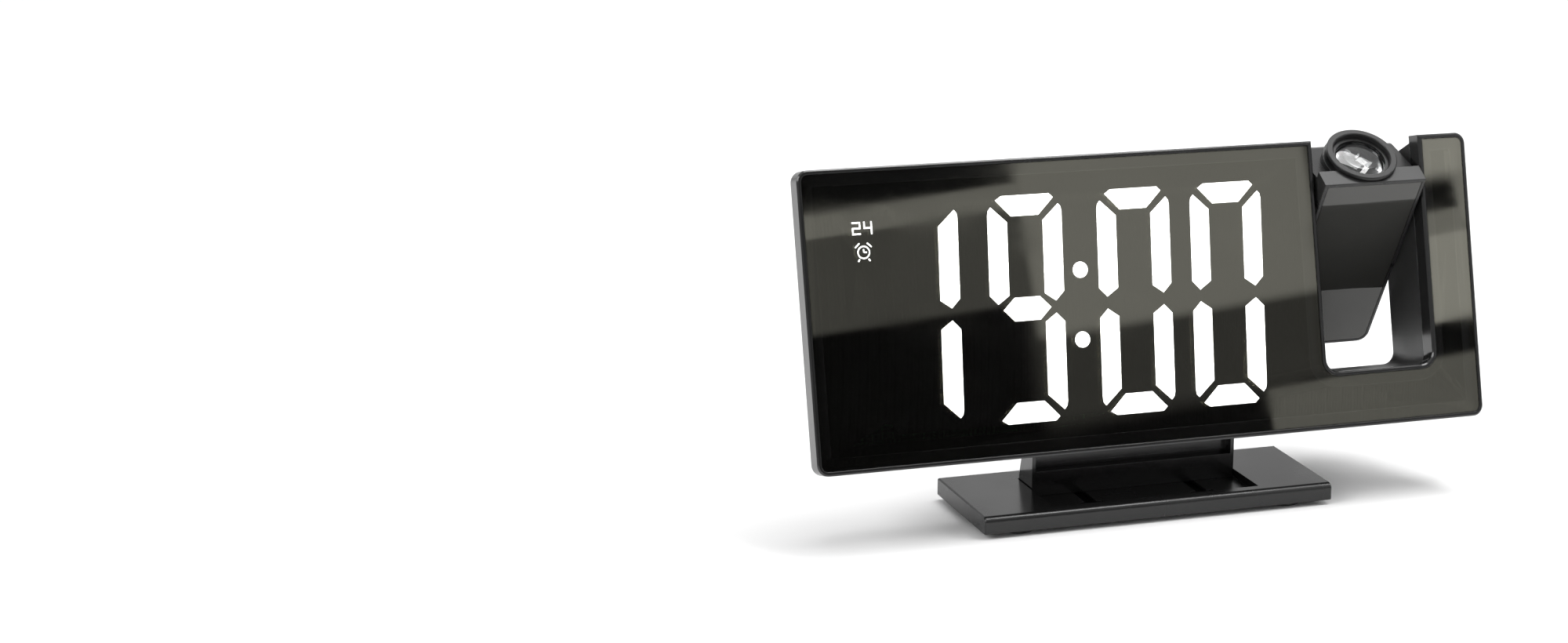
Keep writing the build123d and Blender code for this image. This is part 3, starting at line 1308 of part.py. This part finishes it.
def base_shell():
    """Moulded base: rounded nose, recess for the neck's foot and keyhole slots in its floor."""
    body = block(-BASE_W / 2, BASE_W / 2, BASE_Y0, BASE_Y1, BASE_BOTTOM, BASE_TOP)
    top = body.faces().sort_by(Axis.Z)[-1]
    nose = top.edges().sort_by(Axis.Y)[0]
    body = fillet(nose, BASE_NOSE_R)
    rest = [e for e in body.faces().sort_by(Axis.Z)[-1].edges() if e.center().Y > BASE_Y0 + 2 * BASE_NOSE_R]
    body = chamfer(rest, BASE_EDGE)
    half = NECK_W / 2 + RECESS_GAP
    body -= block(-half, half, RECESS_Y0, RECESS_Y1, RECESS_FLOOR, BASE_TOP + OVERCUT)
    body -= base_pockets()
    plate_half = BASE_W / 2 - BASE_WALL
    plate_z = BASE_BOTTOM + UNDERPLATE_T
    y0 = BASE_Y0 + BASE_WALL
    y1 = BASE_Y1 - BASE_WALL
    body -= block(-plate_half, plate_half, y0, y1, BASE_BOTTOM - OVERCUT, plate_z)
    floor_low = RECESS_FLOOR - RECESS_FLOOR_T
    body -= block(-half, half, y0 + PLATE_SEAT_W, y1 - PLATE_SEAT_W, BASE_BOTTOM - OVERCUT, floor_low)
    hook_y = (NECK_Y0 + NECK_Y1) / 2
    free_y = hook_y - SLIDE_TRAVEL
    reach = HOOK_D / 2 + SLOT_GAP
    low = floor_low - OVERCUT
    high = RECESS_FLOOR + OVERCUT
    for x in (-HOOK_X, HOOK_X):
        stem = HOOK_STEM_W / 2 + SLOT_GAP
        head = HOOK_HEAD_W / 2 + SLOT_GAP
        body -= block(x - stem, x + stem, free_y - reach, hook_y + reach, low, high)
        body -= block(x - head, x + head, free_y - reach, free_y + reach, low, high)
    for x, y in base_screw_places():
        body += rod_z(x, y, NECK_BOSS_R, plate_z, BASE_TOP - BASE_WALL)
        body -= rod_z(x, y, SMALL_SCREW_R, plate_z, BASE_TOP - BASE_WALL)
    return body


def base_ballast():
    """Steel plates in the pockets, outboard of the screw bosses."""
    inner = BASE_SCREW_X + NECK_BOSS_R + BALLAST_GAP
    outer = BASE_W / 2 - BASE_WALL - BALLAST_GAP
    y0 = BASE_Y0 + BASE_WALL + BALLAST_GAP
    y1 = BASE_Y1 - BASE_WALL - BALLAST_GAP
    z0 = BASE_BOTTOM + UNDERPLATE_T
    return [block(side * inner, side * outer, y0, y1, z0, z0 + BALLAST_T) for side in (-1, 1)]


def base_underplate():
    """Bottom cover inside the base's rim, countersunk for its screws."""
    half = BASE_W / 2 - BASE_WALL - DOOR_GAP
    y0 = BASE_Y0 + BASE_WALL + DOOR_GAP
    y1 = BASE_Y1 - BASE_WALL - DOOR_GAP
    plate = block(-half, half, y0, y1, BASE_BOTTOM, BASE_BOTTOM + UNDERPLATE_T)
    for x, y in base_screw_places():
        plate -= rod_z(x, y, SMALL_SCREW_R + HOLE_GAP, BASE_BOTTOM - OVERCUT, BASE_BOTTOM + UNDERPLATE_T)
    return plate


def base_screws():
    """Four low-headed screws under the base."""
    screws = []
    for x, y in base_screw_places():
        head = rod_z(x, y, SMALL_HEAD_R, BASE_BOTTOM - SMALL_HEAD_T / 2, BASE_BOTTOM)
        screws.append(head + rod_z(x, y, SMALL_SCREW_R, BASE_BOTTOM, BASE_BOTTOM + BASE_SCREW_L))
    return screws


def rubber_feet():
    """Four low round feet with rounded rims."""
    x = BASE_W / 2 - FOOT_INSET_X
    feet = []
    for side in (-1, 1):
        for y in (BASE_Y0 + FOOT_INSET_Y, BASE_Y1 - FOOT_INSET_Y):
            foot = rod_z(side * x, y, FOOT_R, FLOOR_Z, BASE_BOTTOM)
            feet.append(fillet(foot.faces().sort_by(Axis.Z)[0].edges(), FOOT_H / 2))
    return feet


# ---------------------------------------------------------------- assembly
def casing_pieces():
    """Pieces drawn in the casing frame."""
    pieces = {
        "front_frame": front_frame(),
        "mirror_lens": mirror_lens(),
        "display_housing": display_housing(),
        "lit_segments": segment_solids(True, LENS_Y1, LENS_Y1 + DIFFUSER_T),
        "unlit_segments": segment_solids(False, LENS_Y1, LENS_Y1 + DIFFUSER_T),
        "colon_lights": colon_solids(LENS_Y1, LENS_Y1 + DIFFUSER_T),
        "indicator_lights": indicator_solids(LENS_Y1, LENS_Y1 + INDICATOR_T),
        "display_board": display_board(),
        "display_lamps": display_lamps(),
        "board_spacers": board_spacers(),
        "main_board": main_board(),
        "board_screws": board_screws(),
        "board_chips": board_chips(),
        "wire_connector": wire_connector(),
        "key_switches": key_switches(),
        "dc_socket": dc_socket(),
        "piezo_sounder": piezo_sounder(),
        "backup_cell": backup_cell(),
        "cell_contacts": cell_contacts(),
        "battery_door": battery_door(),
        "battery_door_screw": battery_door_screw(),
        "casing_screws": casing_screws(),
        "snooze_bar": snooze_bar(),
        "pivot_bushes": pivot_bushes(),
        "pivot_washers": pivot_washers(),
        "projector_wires": projector_wires(),
    }
    for name, x in zip(KEY_NAMES, KEY_X):
        pieces[name] = rear_key(x)
    return pieces


def arm_pieces():
    """Pieces drawn in the arm frame."""
    return {
        "projector_housing": projector_housing(),
        "projector_mirror": projector_mirror(),
        "projector_back_cover": projector_back_cover(),
        "projector_screws": projector_screws(),
        "pivot_shafts": pivot_shafts(),
        "pivot_clips": pivot_clips(),
        "light_box": light_box(),
        "image_slide": image_slide(),
        "condenser_lens": condenser_lens(),
        "projector_led_board": projector_led_board(),
        "projector_led": projector_led(),
        "focus_ring": focus_ring(),
        "lens_cell": lens_cell(),
        "projection_lens": projection_lens(),
        "lens_retainer": lens_retainer(),
    }


def stand_pieces():
    """Pieces drawn level."""
    return {
        "rear_cover": rear_cover(),
        "stand_neck": stand_neck(),
        "neck_screws": neck_screws(),
        "base_shell": base_shell(),
        "base_ballast": base_ballast(),
        "base_underplate": base_underplate(),
        "base_screws": base_screws(),
        "rubber_feet": rubber_feet(),
    }


def solids_of(shape):
    """All solids of a shape or of a list of shapes."""
    shapes = shape if isinstance(shape, list) else [shape]
    return [solid for one in shapes for solid in one.solids()]


def assemble():
    """Every piece at rest, with the origin under the middle of the whole clock, on the table."""
    placed = {}
    for pieces, place in ((casing_pieces(), CASE), (arm_pieces(), ARM), (stand_pieces(), Location())):
        for name, shape in pieces.items():
            placed[name] = Compound([place * solid for solid in solids_of(shape)])
    box = Compound(list(placed.values())).bounding_box()
    shift = Pos(-(box.min.X + box.max.X) / 2, -(box.min.Y + box.max.Y) / 2, -box.min.Z)
    return {name: shift * shape for name, shape in placed.items()}, shift


os.makedirs("parts", exist_ok=True)
CLOCK, SHIFT = assemble()
for node, piece in CLOCK.items():
    export_step(piece, f"parts/{node}.step")
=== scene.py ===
"""Looks of a mirror-faced projection alarm clock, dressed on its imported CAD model.

Lengths are in metres and angles in degrees unless a name says otherwise.
"""
from math import cos, radians, sin

import bpy
from mathutils import Matrix, Vector

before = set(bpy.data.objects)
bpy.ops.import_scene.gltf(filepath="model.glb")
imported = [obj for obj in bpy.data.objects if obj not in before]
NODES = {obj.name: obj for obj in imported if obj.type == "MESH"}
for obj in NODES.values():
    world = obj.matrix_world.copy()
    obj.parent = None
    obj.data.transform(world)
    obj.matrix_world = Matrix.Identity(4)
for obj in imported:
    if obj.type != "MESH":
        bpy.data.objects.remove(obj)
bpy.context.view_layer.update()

# ---------------------------------------------------------------- camera
PHOTO_W = 2000
PHOTO_H = 820
OPTICAL_CENTRE = (1455, 420)
FOCAL_LENGTH_PX = 4252.2
SENSOR_W_MM = 36.0
CAMERA_PLACE = (-0.3372, -0.7962, 0.2717)
CAMERA_YAW = -23.17
CAMERA_PITCH = 14.61
CAMERA_ROLL = -1.58
CLIP_START = 0.01


def make_camera():
    """Camera at the photograph's place, with its optical centre off the middle of the frame."""
    yaw, pitch, roll = (radians(a) for a in (CAMERA_YAW, CAMERA_PITCH, CAMERA_ROLL))
    back = Vector((sin(yaw) * cos(pitch), -cos(yaw) * cos(pitch), sin(pitch)))
    level = Vector((cos(yaw), sin(yaw), 0))
    upright = back.cross(level)
    right = cos(roll) * level - sin(roll) * upright
    up = sin(roll) * level + cos(roll) * upright
    turned = Matrix((right, up, back)).transposed().to_4x4()
    data = bpy.data.cameras.new("camera")
    data.sensor_width = SENSOR_W_MM
    data.lens = FOCAL_LENGTH_PX * SENSOR_W_MM / PHOTO_W
    data.shift_x = (PHOTO_W / 2 - OPTICAL_CENTRE[0]) / PHOTO_W
    data.shift_y = (OPTICAL_CENTRE[1] - PHOTO_H / 2) / PHOTO_W
    data.clip_start = CLIP_START
    camera = bpy.data.objects.new("camera", data)
    camera.matrix_world = Matrix.Translation(CAMERA_PLACE) @ turned
    bpy.context.scene.collection.objects.link(camera)
    bpy.context.scene.camera = camera


# ---------------------------------------------------------------- node helpers
EDGE_SAMPLES = 4
# Cosines of the angle between the rounded and the flat normal, on an edge and well off it
EDGE_TURNED = 0.8
EDGE_STRAIGHT = 0.99


class Tree:
    """A node tree with short calls for the nodes that the materials are made of."""

    def __init__(self, owner):
        self.owner = owner
        owner.use_nodes = True
        self.tree = owner.node_tree
        self.tree.nodes.clear()

    def add(self, kind, inputs=None, **settings):
        node = self.tree.nodes.new(kind)
        for name, value in settings.items():
            setattr(node, name, value)
        for name, value in (inputs or {}).items():
            self.set(node, name, value)
        return node

    def set(self, node, name, value):
        socket = node.inputs[name]
        if isinstance(value, bpy.types.NodeSocket):
            self.tree.links.new(value, socket)
        else:
            socket.default_value = value

    def math(self, operation, a, b=0.0, clamp=False):
        node = self.add("ShaderNodeMath", {0: a, 1: b}, operation=operation, use_clamp=clamp)
        return node.outputs[0]

    def ramp(self, value, low, high, out_low=0.0, out_high=1.0):
        """Smooth step of a value from out_low to out_high."""
        inputs = {
            "Value": value, "From Min": low, "From Max": high, "To Min": out_low, "To Max": out_high,
        }
        node = self.add("ShaderNodeMapRange", inputs, interpolation_type="SMOOTHSTEP")
        return node.outputs["Result"]

    def noise(self, scale, detail=2.0, stretch=(1, 1, 1), roughness=0.5):
        """Noise in the part's own coordinates, about scale cycles to the metre."""
        place = self.add("ShaderNodeTexCoord").outputs["Object"]
        mapped = self.add("ShaderNodeMapping", {"Vector": place, "Scale": stretch}).outputs["Vector"]
        inputs = {"Vector": mapped, "Scale": scale, "Detail": detail, "Roughness": roughness}
        return self.add("ShaderNodeTexNoise", inputs).outputs["Fac"]

    def mix(self, factor, a, b):
        """Colour between a and b."""
        node = self.add("ShaderNodeMix", data_type="RGBA")
        self.set(node, 0, factor)
        self.set(node, 6, a)
        self.set(node, 7, b)
        return node.outputs[2]

    def near_edge(self, radius):
        """Normal rounded over the edges within a radius, and a mask that is 1 along those edges."""
        bevel = self.add("ShaderNodeBevel", {"Radius": radius}, samples=EDGE_SAMPLES)
        rounded = bevel.outputs["Normal"]
        flat = self.add("ShaderNodeNewGeometry").outputs["Normal"]
        facing = self.add("ShaderNodeVectorMath", {0: rounded, 1: flat}, operation="DOT_PRODUCT")
        turned = facing.outputs["Value"]
        return rounded, self.ramp(turned, EDGE_TURNED, EDGE_STRAIGHT, 1.0, 0.0)

    def bump(self, height, depth, normal=None):
        node = self.add("ShaderNodeBump", {"Height": height, "Distance": depth})
        if normal is not None:
            self.set(node, "Normal", normal)
        return node.outputs["Normal"]

    def surface(self, inputs):
        """Principled surface wired to the output."""
        shader = self.add("ShaderNodeBsdfPrincipled", inputs)
        self.output(shader.outputs["BSDF"])

    def output(self, shader):
        in_world = isinstance(self.owner, bpy.types.World)
        kind = "ShaderNodeOutputWorld" if in_world else "ShaderNodeOutputMaterial"
        self.add(kind, {"Surface": shader})


def new_material(name):
    material = bpy.data.materials.new(name)
    return material, Tree(material)


def grey(level, warm=0.0):
    """Grey of a level, with less blue by the share warm and a little more red and green."""
    return (level * (1 + warm / 2), level * (1 + warm / 3), level * (1 - warm), 1)


# ---------------------------------------------------------------- materials
EDGE_R = 0.00025
# How much lighter the edges are: partly wear, partly a painted highlight along the edges
EDGE_WEAR_HIGHLIGHT_LEVEL = 2.2
HANDLING_SCALE = 38.0
HANDLING_DETAIL = 4.0
HANDLING_SHARE = 0.6
GRAIN_SHARE = 0.4
# Range of the handling noise over which edges lighten: partly wear, partly a painted highlight
WEAR_HIGHLIGHT_FROM, WEAR_HIGHLIGHT_TO = 0.35, 0.7
SHEEN_FROM, SHEEN_TO = 0.3, 0.7
# Width of the black rim painted as shade along the mirrors' edges, in place of a shadow gap
MIRROR_SHADE_RIM_R = 0.0006
WIPING_SCALE = 26.0
WIPING_DETAIL = 5.0
WIPING_STRETCH = (1.0, 1.0, 3.0)
MIRROR_DULL, MIRROR_BRIGHT = 0.93, 1.07
MIRROR_SMOOTH, MIRROR_WIPED = 0.012, 0.04
CLOUD_SCALE = 220.0
GLOW_LOW, GLOW_HIGH = 0.92, 1.08
MATTE_GRAIN_SCALE = 3200.0
MATTE_GRAIN_DEPTH = 0.00002
MATTE_SPREAD = 0.08
BRUSH_SCALE = 900.0
BRUSH_STRETCH = (1, 1, 12)
BRUSH_DEPTH = 0.000015
PATCH_SCALE = 120.0
HAZE_SCALE = 300.0
HAZE_ROUGHNESS = 0.03
PLASTIC_IOR = 1.5
PEBBLE_SCALE = 4200.0
PEBBLE_DEPTH = 0.00004
DUST_SCALE = 500.0
TRACK_SCALE = 180.0
TRACK_GAP = 0.04
TRACK_HEIGHT = 0.00003
BOARD_GRAIN_SCALE = 2500.0


def moulded(name, level, roughness, grain_scale, grain_depth, spread=0.08, specular=0.5):
    """Moulded plastic: fine grain, uneven sheen from handling, and edges lightened in colour, partly as
    wear and partly as a painted highlight.
    """
    material, t = new_material(name)
    rounded, edge = t.near_edge(EDGE_R)
    handling = t.noise(HANDLING_SCALE, HANDLING_DETAIL)
    grain = t.noise(grain_scale)
    # Edges lightened where the handling noise is high: partly wear, partly a painted highlight
    wear_and_highlight = t.math("MULTIPLY", edge, t.ramp(handling, WEAR_HIGHLIGHT_FROM, WEAR_HIGHLIGHT_TO))
    from_handling = t.math("MULTIPLY", handling, HANDLING_SHARE)
    shade = t.math("ADD", from_handling, t.math("MULTIPLY", grain, GRAIN_SHARE))
    colour = t.mix(shade, grey(level * 0.75), grey(level * 1.25))
    colour = t.mix(wear_and_highlight, colour, grey(level * EDGE_WEAR_HIGHLIGHT_LEVEL))
    sheen = t.ramp(handling, SHEEN_FROM, SHEEN_TO, roughness - spread, roughness + spread)
    t.surface({
        "Base Color": colour,
        "Roughness": t.math("ADD", sheen, t.math("MULTIPLY", grain, spread / 2)),
        "Specular IOR Level": specular,
        "Normal": t.bump(grain, grain_depth, rounded),
    })
    return material


def half_mirror(name, reflectance, alpha, tint, metallic=1.0):
    """Thin metal film on clear plastic: a weak dark mirror with faint wiping marks, and a black rim
    along its edges painted as shade.
    """
    material, t = new_material(name)
    wiping = t.noise(WIPING_SCALE, WIPING_DETAIL, WIPING_STRETCH)
    dull = grey(reflectance * MIRROR_DULL, tint)
    bright = grey(reflectance * MIRROR_BRIGHT, tint)
    colour = t.mix(wiping, dull, bright)
    # Black rim along the edges: painted shade standing in for the shadow gap at the mirror's edge
    colour = t.mix(t.near_edge(MIRROR_SHADE_RIM_R)[1], colour, grey(0.0))
    t.surface({
        "Base Color": colour,
        "Metallic": metallic,
        "Roughness": t.ramp(wiping, 0.4, 0.75, MIRROR_SMOOTH, MIRROR_WIPED),
        "Alpha": alpha,
    })
    return material


def glowing(name, colour, strength):
    """Diffuser lit from behind, a little brighter over its lamp's grain."""
    material, t = new_material(name)
    cloud = t.noise(CLOUD_SCALE)
    t.surface({
        "Base Color": colour,
        "Roughness": 0.6,
        "Emission Color": colour,
        "Emission Strength": t.ramp(cloud, 0.2, 0.8, strength * GLOW_LOW, strength * GLOW_HIGH),
    })
    return material


def matte(name, level, roughness=0.75, specular=0.5):
    """Plain dull plastic with a fine moulded grain."""
    material, t = new_material(name)
    grain = t.noise(MATTE_GRAIN_SCALE)
    t.surface({
        "Base Color": t.mix(grain, grey(level * 0.8), grey(level * 1.2)),
        "Roughness": t.ramp(grain, 0.2, 0.8, roughness - MATTE_SPREAD, roughness + MATTE_SPREAD),
        "Specular IOR Level": specular,
        "Normal": t.bump(grain, MATTE_GRAIN_DEPTH),
    })
    return material


def metal(name, colour, roughness):
    """Plated metal with fine drawn lines and uneven polish."""
    material, t = new_material(name)
    lines = t.noise(BRUSH_SCALE, 3.0, BRUSH_STRETCH)
    patch = t.noise(PATCH_SCALE)
    dark = tuple(c * 0.8 for c in colour)
    t.surface({
        "Base Color": t.mix(patch, (*dark, 1), (*colour, 1)),
        "Metallic": 1.0,
        "Roughness": t.ramp(lines, 0.25, 0.75, roughness * 0.7, roughness * 1.3),
        "Normal": t.bump(lines, BRUSH_DEPTH),
    })
    return material


def clear_glass(name, tint, roughness=0.0):
    """Moulded optical plastic with the faintest haze."""
    material, t = new_material(name)
    haze = t.noise(HAZE_SCALE)
    t.surface({
        "Base Color": t.mix(haze, (*tint, 1), (1, 1, 1, 1)),
        "Roughness": t.ramp(haze, 0.3, 0.9, roughness, roughness + HAZE_ROUGHNESS),
        "Transmission Weight": 1.0,
        "IOR": PLASTIC_IOR,
    })
    return material


def rubber(name):
    """Soft black rubber: dusty, dull and finely pebbled."""
    material, t = new_material(name)
    pebble = t.noise(PEBBLE_SCALE, 3.0)
    dust = t.noise(DUST_SCALE, 4.0)
    t.surface({
        "Base Color": t.mix(t.ramp(dust, 0.45, 0.8), grey(0.018), grey(0.05, 0.04)),
        "Roughness": t.ramp(pebble, 0.2, 0.8, 0.62, 0.85),
        "Normal": t.bump(pebble, PEBBLE_DEPTH),
    })
    return material


def circuit_board(name):
    """Solder mask with lighter copper tracks under it."""
    material, t = new_material(name)
    place = t.add("ShaderNodeTexCoord").outputs["Object"]
    inputs = {"Vector": place, "Scale": TRACK_SCALE, "Mortar Size": TRACK_GAP}
    tracks = t.add("ShaderNodeTexBrick", inputs).outputs["Fac"]
    grain = t.noise(BOARD_GRAIN_SCALE)
    t.surface({
        "Base Color": t.mix(tracks, (0.012, 0.09, 0.035, 1), (0.05, 0.22, 0.08, 1)),
        "Roughness": t.ramp(grain, 0.2, 0.8, 0.28, 0.42),
        "Normal": t.bump(tracks, TRACK_HEIGHT),
    })
    return material


def dress_nodes():
    """A material for every CAD node."""
    frame_black = moulded("frame_black", 0.011, 0.16, 5200.0, 0.000004, 0.05)
    base_black = moulded("base_black", 0.008, 0.24, 5200.0, 0.000006, 0.05, 0.45)
    arm_black = moulded("arm_black", 0.02, 0.3, 4800.0, 0.00001, 0.07, 0.42)
    cover_black = moulded("cover_black", 0.018, 0.42, 3600.0, 0.00004, 0.07)
    key_grey = moulded("key_grey", 0.05, 0.38, 4200.0, 0.00002, 0.08)
    ring_grey = moulded("ring_grey", 0.016, 0.34, 4800.0, 0.00001, 0.06, 0.3)
    cell_black = moulded("cell_black", 0.015, 0.4, 4800.0, 0.00001, 0.06)
    inner_black = matte("inner_black", 0.004, 0.8, 0.1)
    chip_black = matte("chip_black", 0.02, 0.55)
    nylon = matte("white_nylon", 0.62, 0.5)
    wire_sleeve = matte("wire_sleeve", 0.03, 0.5)
    board = circuit_board("board_green")
    steel = metal("plated_steel", (0.36, 0.35, 0.34), 0.34)
    spring_steel = metal("spring_steel", (0.5, 0.5, 0.51), 0.35)
    brass = metal("sounder_brass", (0.72, 0.55, 0.27), 0.32)
    lens = clear_glass("lens_clear", (0.93, 0.96, 0.97))
    lit = glowing("lit_white", (1.0, 1.0, 1.0, 1), 4.0)
    lamp = matte("lamp_phosphor", 0.7, 0.4)
    dress = {
        frame_black: ["front_frame", "stand_neck"],
        base_black: ["base_shell", "snooze_bar"],
        arm_black: ["projector_housing", "projector_back_cover"],
        cover_black: ["rear_cover", "battery_door", "base_underplate", "pivot_bushes"],
        key_grey: ["set_key", "alarm_key", "down_key", "up_key", "projector_key"],
        ring_grey: ["focus_ring", "lens_retainer"],
        cell_black: ["lens_cell", "dc_socket"],
        inner_black: ["display_housing", "unlit_segments", "light_box"],
        chip_black: ["board_chips", "key_switches"],
        nylon: ["board_spacers", "wire_connector"],
        wire_sleeve: ["projector_wires"],
        board: ["display_board", "main_board", "projector_led_board"],
        steel: [
            "casing_screws", "board_screws", "battery_door_screw", "projector_screws", "neck_screws",
            "base_screws", "pivot_shafts", "backup_cell", "base_ballast",
        ],
        spring_steel: ["pivot_washers", "pivot_clips", "cell_contacts"],
        brass: ["piezo_sounder"],
        lens: ["projection_lens", "condenser_lens"],
        clear_glass("slide_film", (0.5, 0.55, 0.6), 0.1): ["image_slide"],
        lit: ["lit_segments", "colon_lights", "indicator_lights"],
        lamp: ["display_lamps", "projector_led"],
        rubber("foot_rubber"): ["rubber_feet"],
        half_mirror("mirror_window", 0.4, 0.45, 0.12): ["mirror_lens"],
        half_mirror("arm_mirror", 0.05, 1.0, 0.05, 0.3): ["projector_mirror"],
    }
    for material, names in dress.items():
        for name in names:
            NODES[name].data.materials.clear()
            NODES[name].data.materials.append(material)


# ---------------------------------------------------------------- studio
BLACK = (0, 0, 0, 1)
WHITE = (1, 1, 1, 1)
AMBIENT = 0.55
ROOM_DARK = 0.005
BACKDROP = 0.78
# How far back, and how far up, a reflection has to point to see the backdrop and the overhead white
BACKDROP_FROM, BACKDROP_TO = -0.25, 0.15
OVERHEAD_FROM, OVERHEAD_TO = 0.55, 0.8
# Soft pale areas in front of the clock that only its glossy faces see: azimuths and elevations that
# they lie between, softness of their edges, and level. They were fitted until the mirror's
# bands and tones fell where the photograph's do, seen from the photograph's camera.
ROOM_AREAS = (
    (21.3, 26.2, 12.6, 60.0, 0.3, 0.6),
    (21.3, 26.2, 11.2, 12.6, 0.5, 0.12),
    (8.0, 21.3, 14.8, 15.15, 0.1, 0.55),
    (8.0, 21.3, 13.2, 14.8, 0.15, 0.2),
    (27.2, 60.0, 14.05, 60.0, 0.08, 1.0),
    (28.85, 60.0, 13.2, 14.05, 0.06, 0.75),
    (27.2, 60.0, 13.0, 13.4, 0.08, 0.6),
    (27.2, 60.0, 11.6, 13.0, 0.1, 1.0),
    (25.0, 60.0, -10.0, 10.9, 0.12, 0.38),
    (-80.0, -25.0, 5.0, 50.0, 8.0, 0.5),
)


def between(t, value, low, high, soft):
    """1 between low and high, and softly 0 outside them."""
    rise = t.ramp(value, low - soft, low)
    return t.math("MULTIPLY", rise, t.ramp(value, high, high + soft, 1, 0))


def make_world():
    """White for the camera, even light, and for glossy rays a dark front with the fitted areas."""
    world = bpy.data.worlds.new("studio")
    bpy.context.scene.world = world
    t = Tree(world)
    towards = t.add("ShaderNodeTexCoord").outputs["Generated"]
    parts = t.add("ShaderNodeSeparateXYZ", {"Vector": towards})
    x, y, z = parts.outputs[0], parts.outputs[1], parts.outputs[2]
    azimuth = t.math("DEGREES", t.math("ARCTAN2", x, t.math("MULTIPLY", y, -1.0)))
    elevation = t.math("DEGREES", t.math("ARCSINE", z))
    room = ROOM_DARK
    for left, right, low, high, soft, level in ROOM_AREAS:
        across = between(t, azimuth, left, right, soft)
        along = between(t, elevation, low, high, soft)
        patch = t.math("MULTIPLY", t.math("MULTIPLY", across, along), level)
        room = t.math("MAXIMUM", room, patch)
    backdrop = t.ramp(y, BACKDROP_FROM, BACKDROP_TO, 0.0, BACKDROP)
    overhead = t.ramp(z, OVERHEAD_FROM, OVERHEAD_TO)
    seen = t.math("MAXIMUM", room, t.math("MAXIMUM", backdrop, overhead))
    path = t.add("ShaderNodeLightPath")
    shown = t.mix(seen, BLACK, WHITE)
    lighting = t.add("ShaderNodeBackground", {"Color": WHITE, "Strength": AMBIENT})
    reflected = t.add("ShaderNodeBackground", {"Color": shown, "Strength": 1.0})
    white = t.add("ShaderNodeBackground", {"Color": WHITE, "Strength": 1.0})
    glossy = path.outputs["Is Glossy Ray"]
    inputs = {0: glossy, 1: lighting.outputs[0], 2: reflected.outputs[0]}
    mixed = t.add("ShaderNodeMixShader", inputs)
    straight = t.math("MAXIMUM", path.outputs["Is Camera Ray"], path.outputs["Is Transmission Ray"])
    inputs = {0: straight, 1: mixed.outputs[0], 2: white.outputs[0]}
    final = t.add("ShaderNodeMixShader", inputs)
    t.output(final.outputs[0])


FLOOR_HALF = 4.0
FLOOR_LEVEL = 0.9
FLOOR_MOTTLE = 0.01
MOTTLE_SCALE = 6.0


def make_floor():
    """Pale matt table that runs out of sight."""
    mesh = bpy.data.meshes.new("floor")
    h = FLOOR_HALF
    mesh.from_pydata([(-h, -h, 0), (h, -h, 0), (h, h, 0), (-h, h, 0)], [], [(0, 1, 2, 3)])
    floor = bpy.data.objects.new("floor", mesh)
    bpy.context.scene.collection.objects.link(floor)
    material, t = new_material("floor_pale")
    mottle = t.noise(MOTTLE_SCALE, 3.0)
    t.surface({
        "Base Color": t.mix(mottle, grey(FLOOR_LEVEL - FLOOR_MOTTLE), grey(FLOOR_LEVEL + FLOOR_MOTTLE)),
        "Roughness": 0.9,
        "Specular IOR Level": 0.1,
    })
    mesh.materials.append(material)


LIGHT_AIM = (0.0, 0.0, 0.05)
# Name, place, width and height, and watts. The strip draws the base's rounded front edge.
LIGHTS = (
    ("overhead_box", (0.25, 0.2, 1.3), (0.9, 0.6), 12.5),
    ("front_strip", (0.5, -0.36, 1.2), (0.5, 0.14), 3.5),
    ("left_box", (-1.3, -0.4, 0.9), (0.8, 0.8), 12.0),
    ("right_box", (1.3, -0.7, 0.8), (0.6, 0.8), 7.0),
)


def area_light(name, place, size, power):
    """Rectangular soft light that points at the clock."""
    data = bpy.data.lights.new(name, "AREA")
    data.shape = "RECTANGLE"
    data.size, data.size_y = size
    data.energy = power
    lamp = bpy.data.objects.new(name, data)
    lamp.location = place
    towards = Vector(LIGHT_AIM) - Vector(place)
    lamp.rotation_euler = towards.to_track_quat("-Z", "Y").to_euler()
    bpy.context.scene.collection.objects.link(lamp)


# ---------------------------------------------------------------- assembly of the scene
make_camera()
make_world()
make_floor()
for light in LIGHTS:
    area_light(*light)
dress_nodes()

bpy.context.scene.view_settings.view_transform = "Standard"
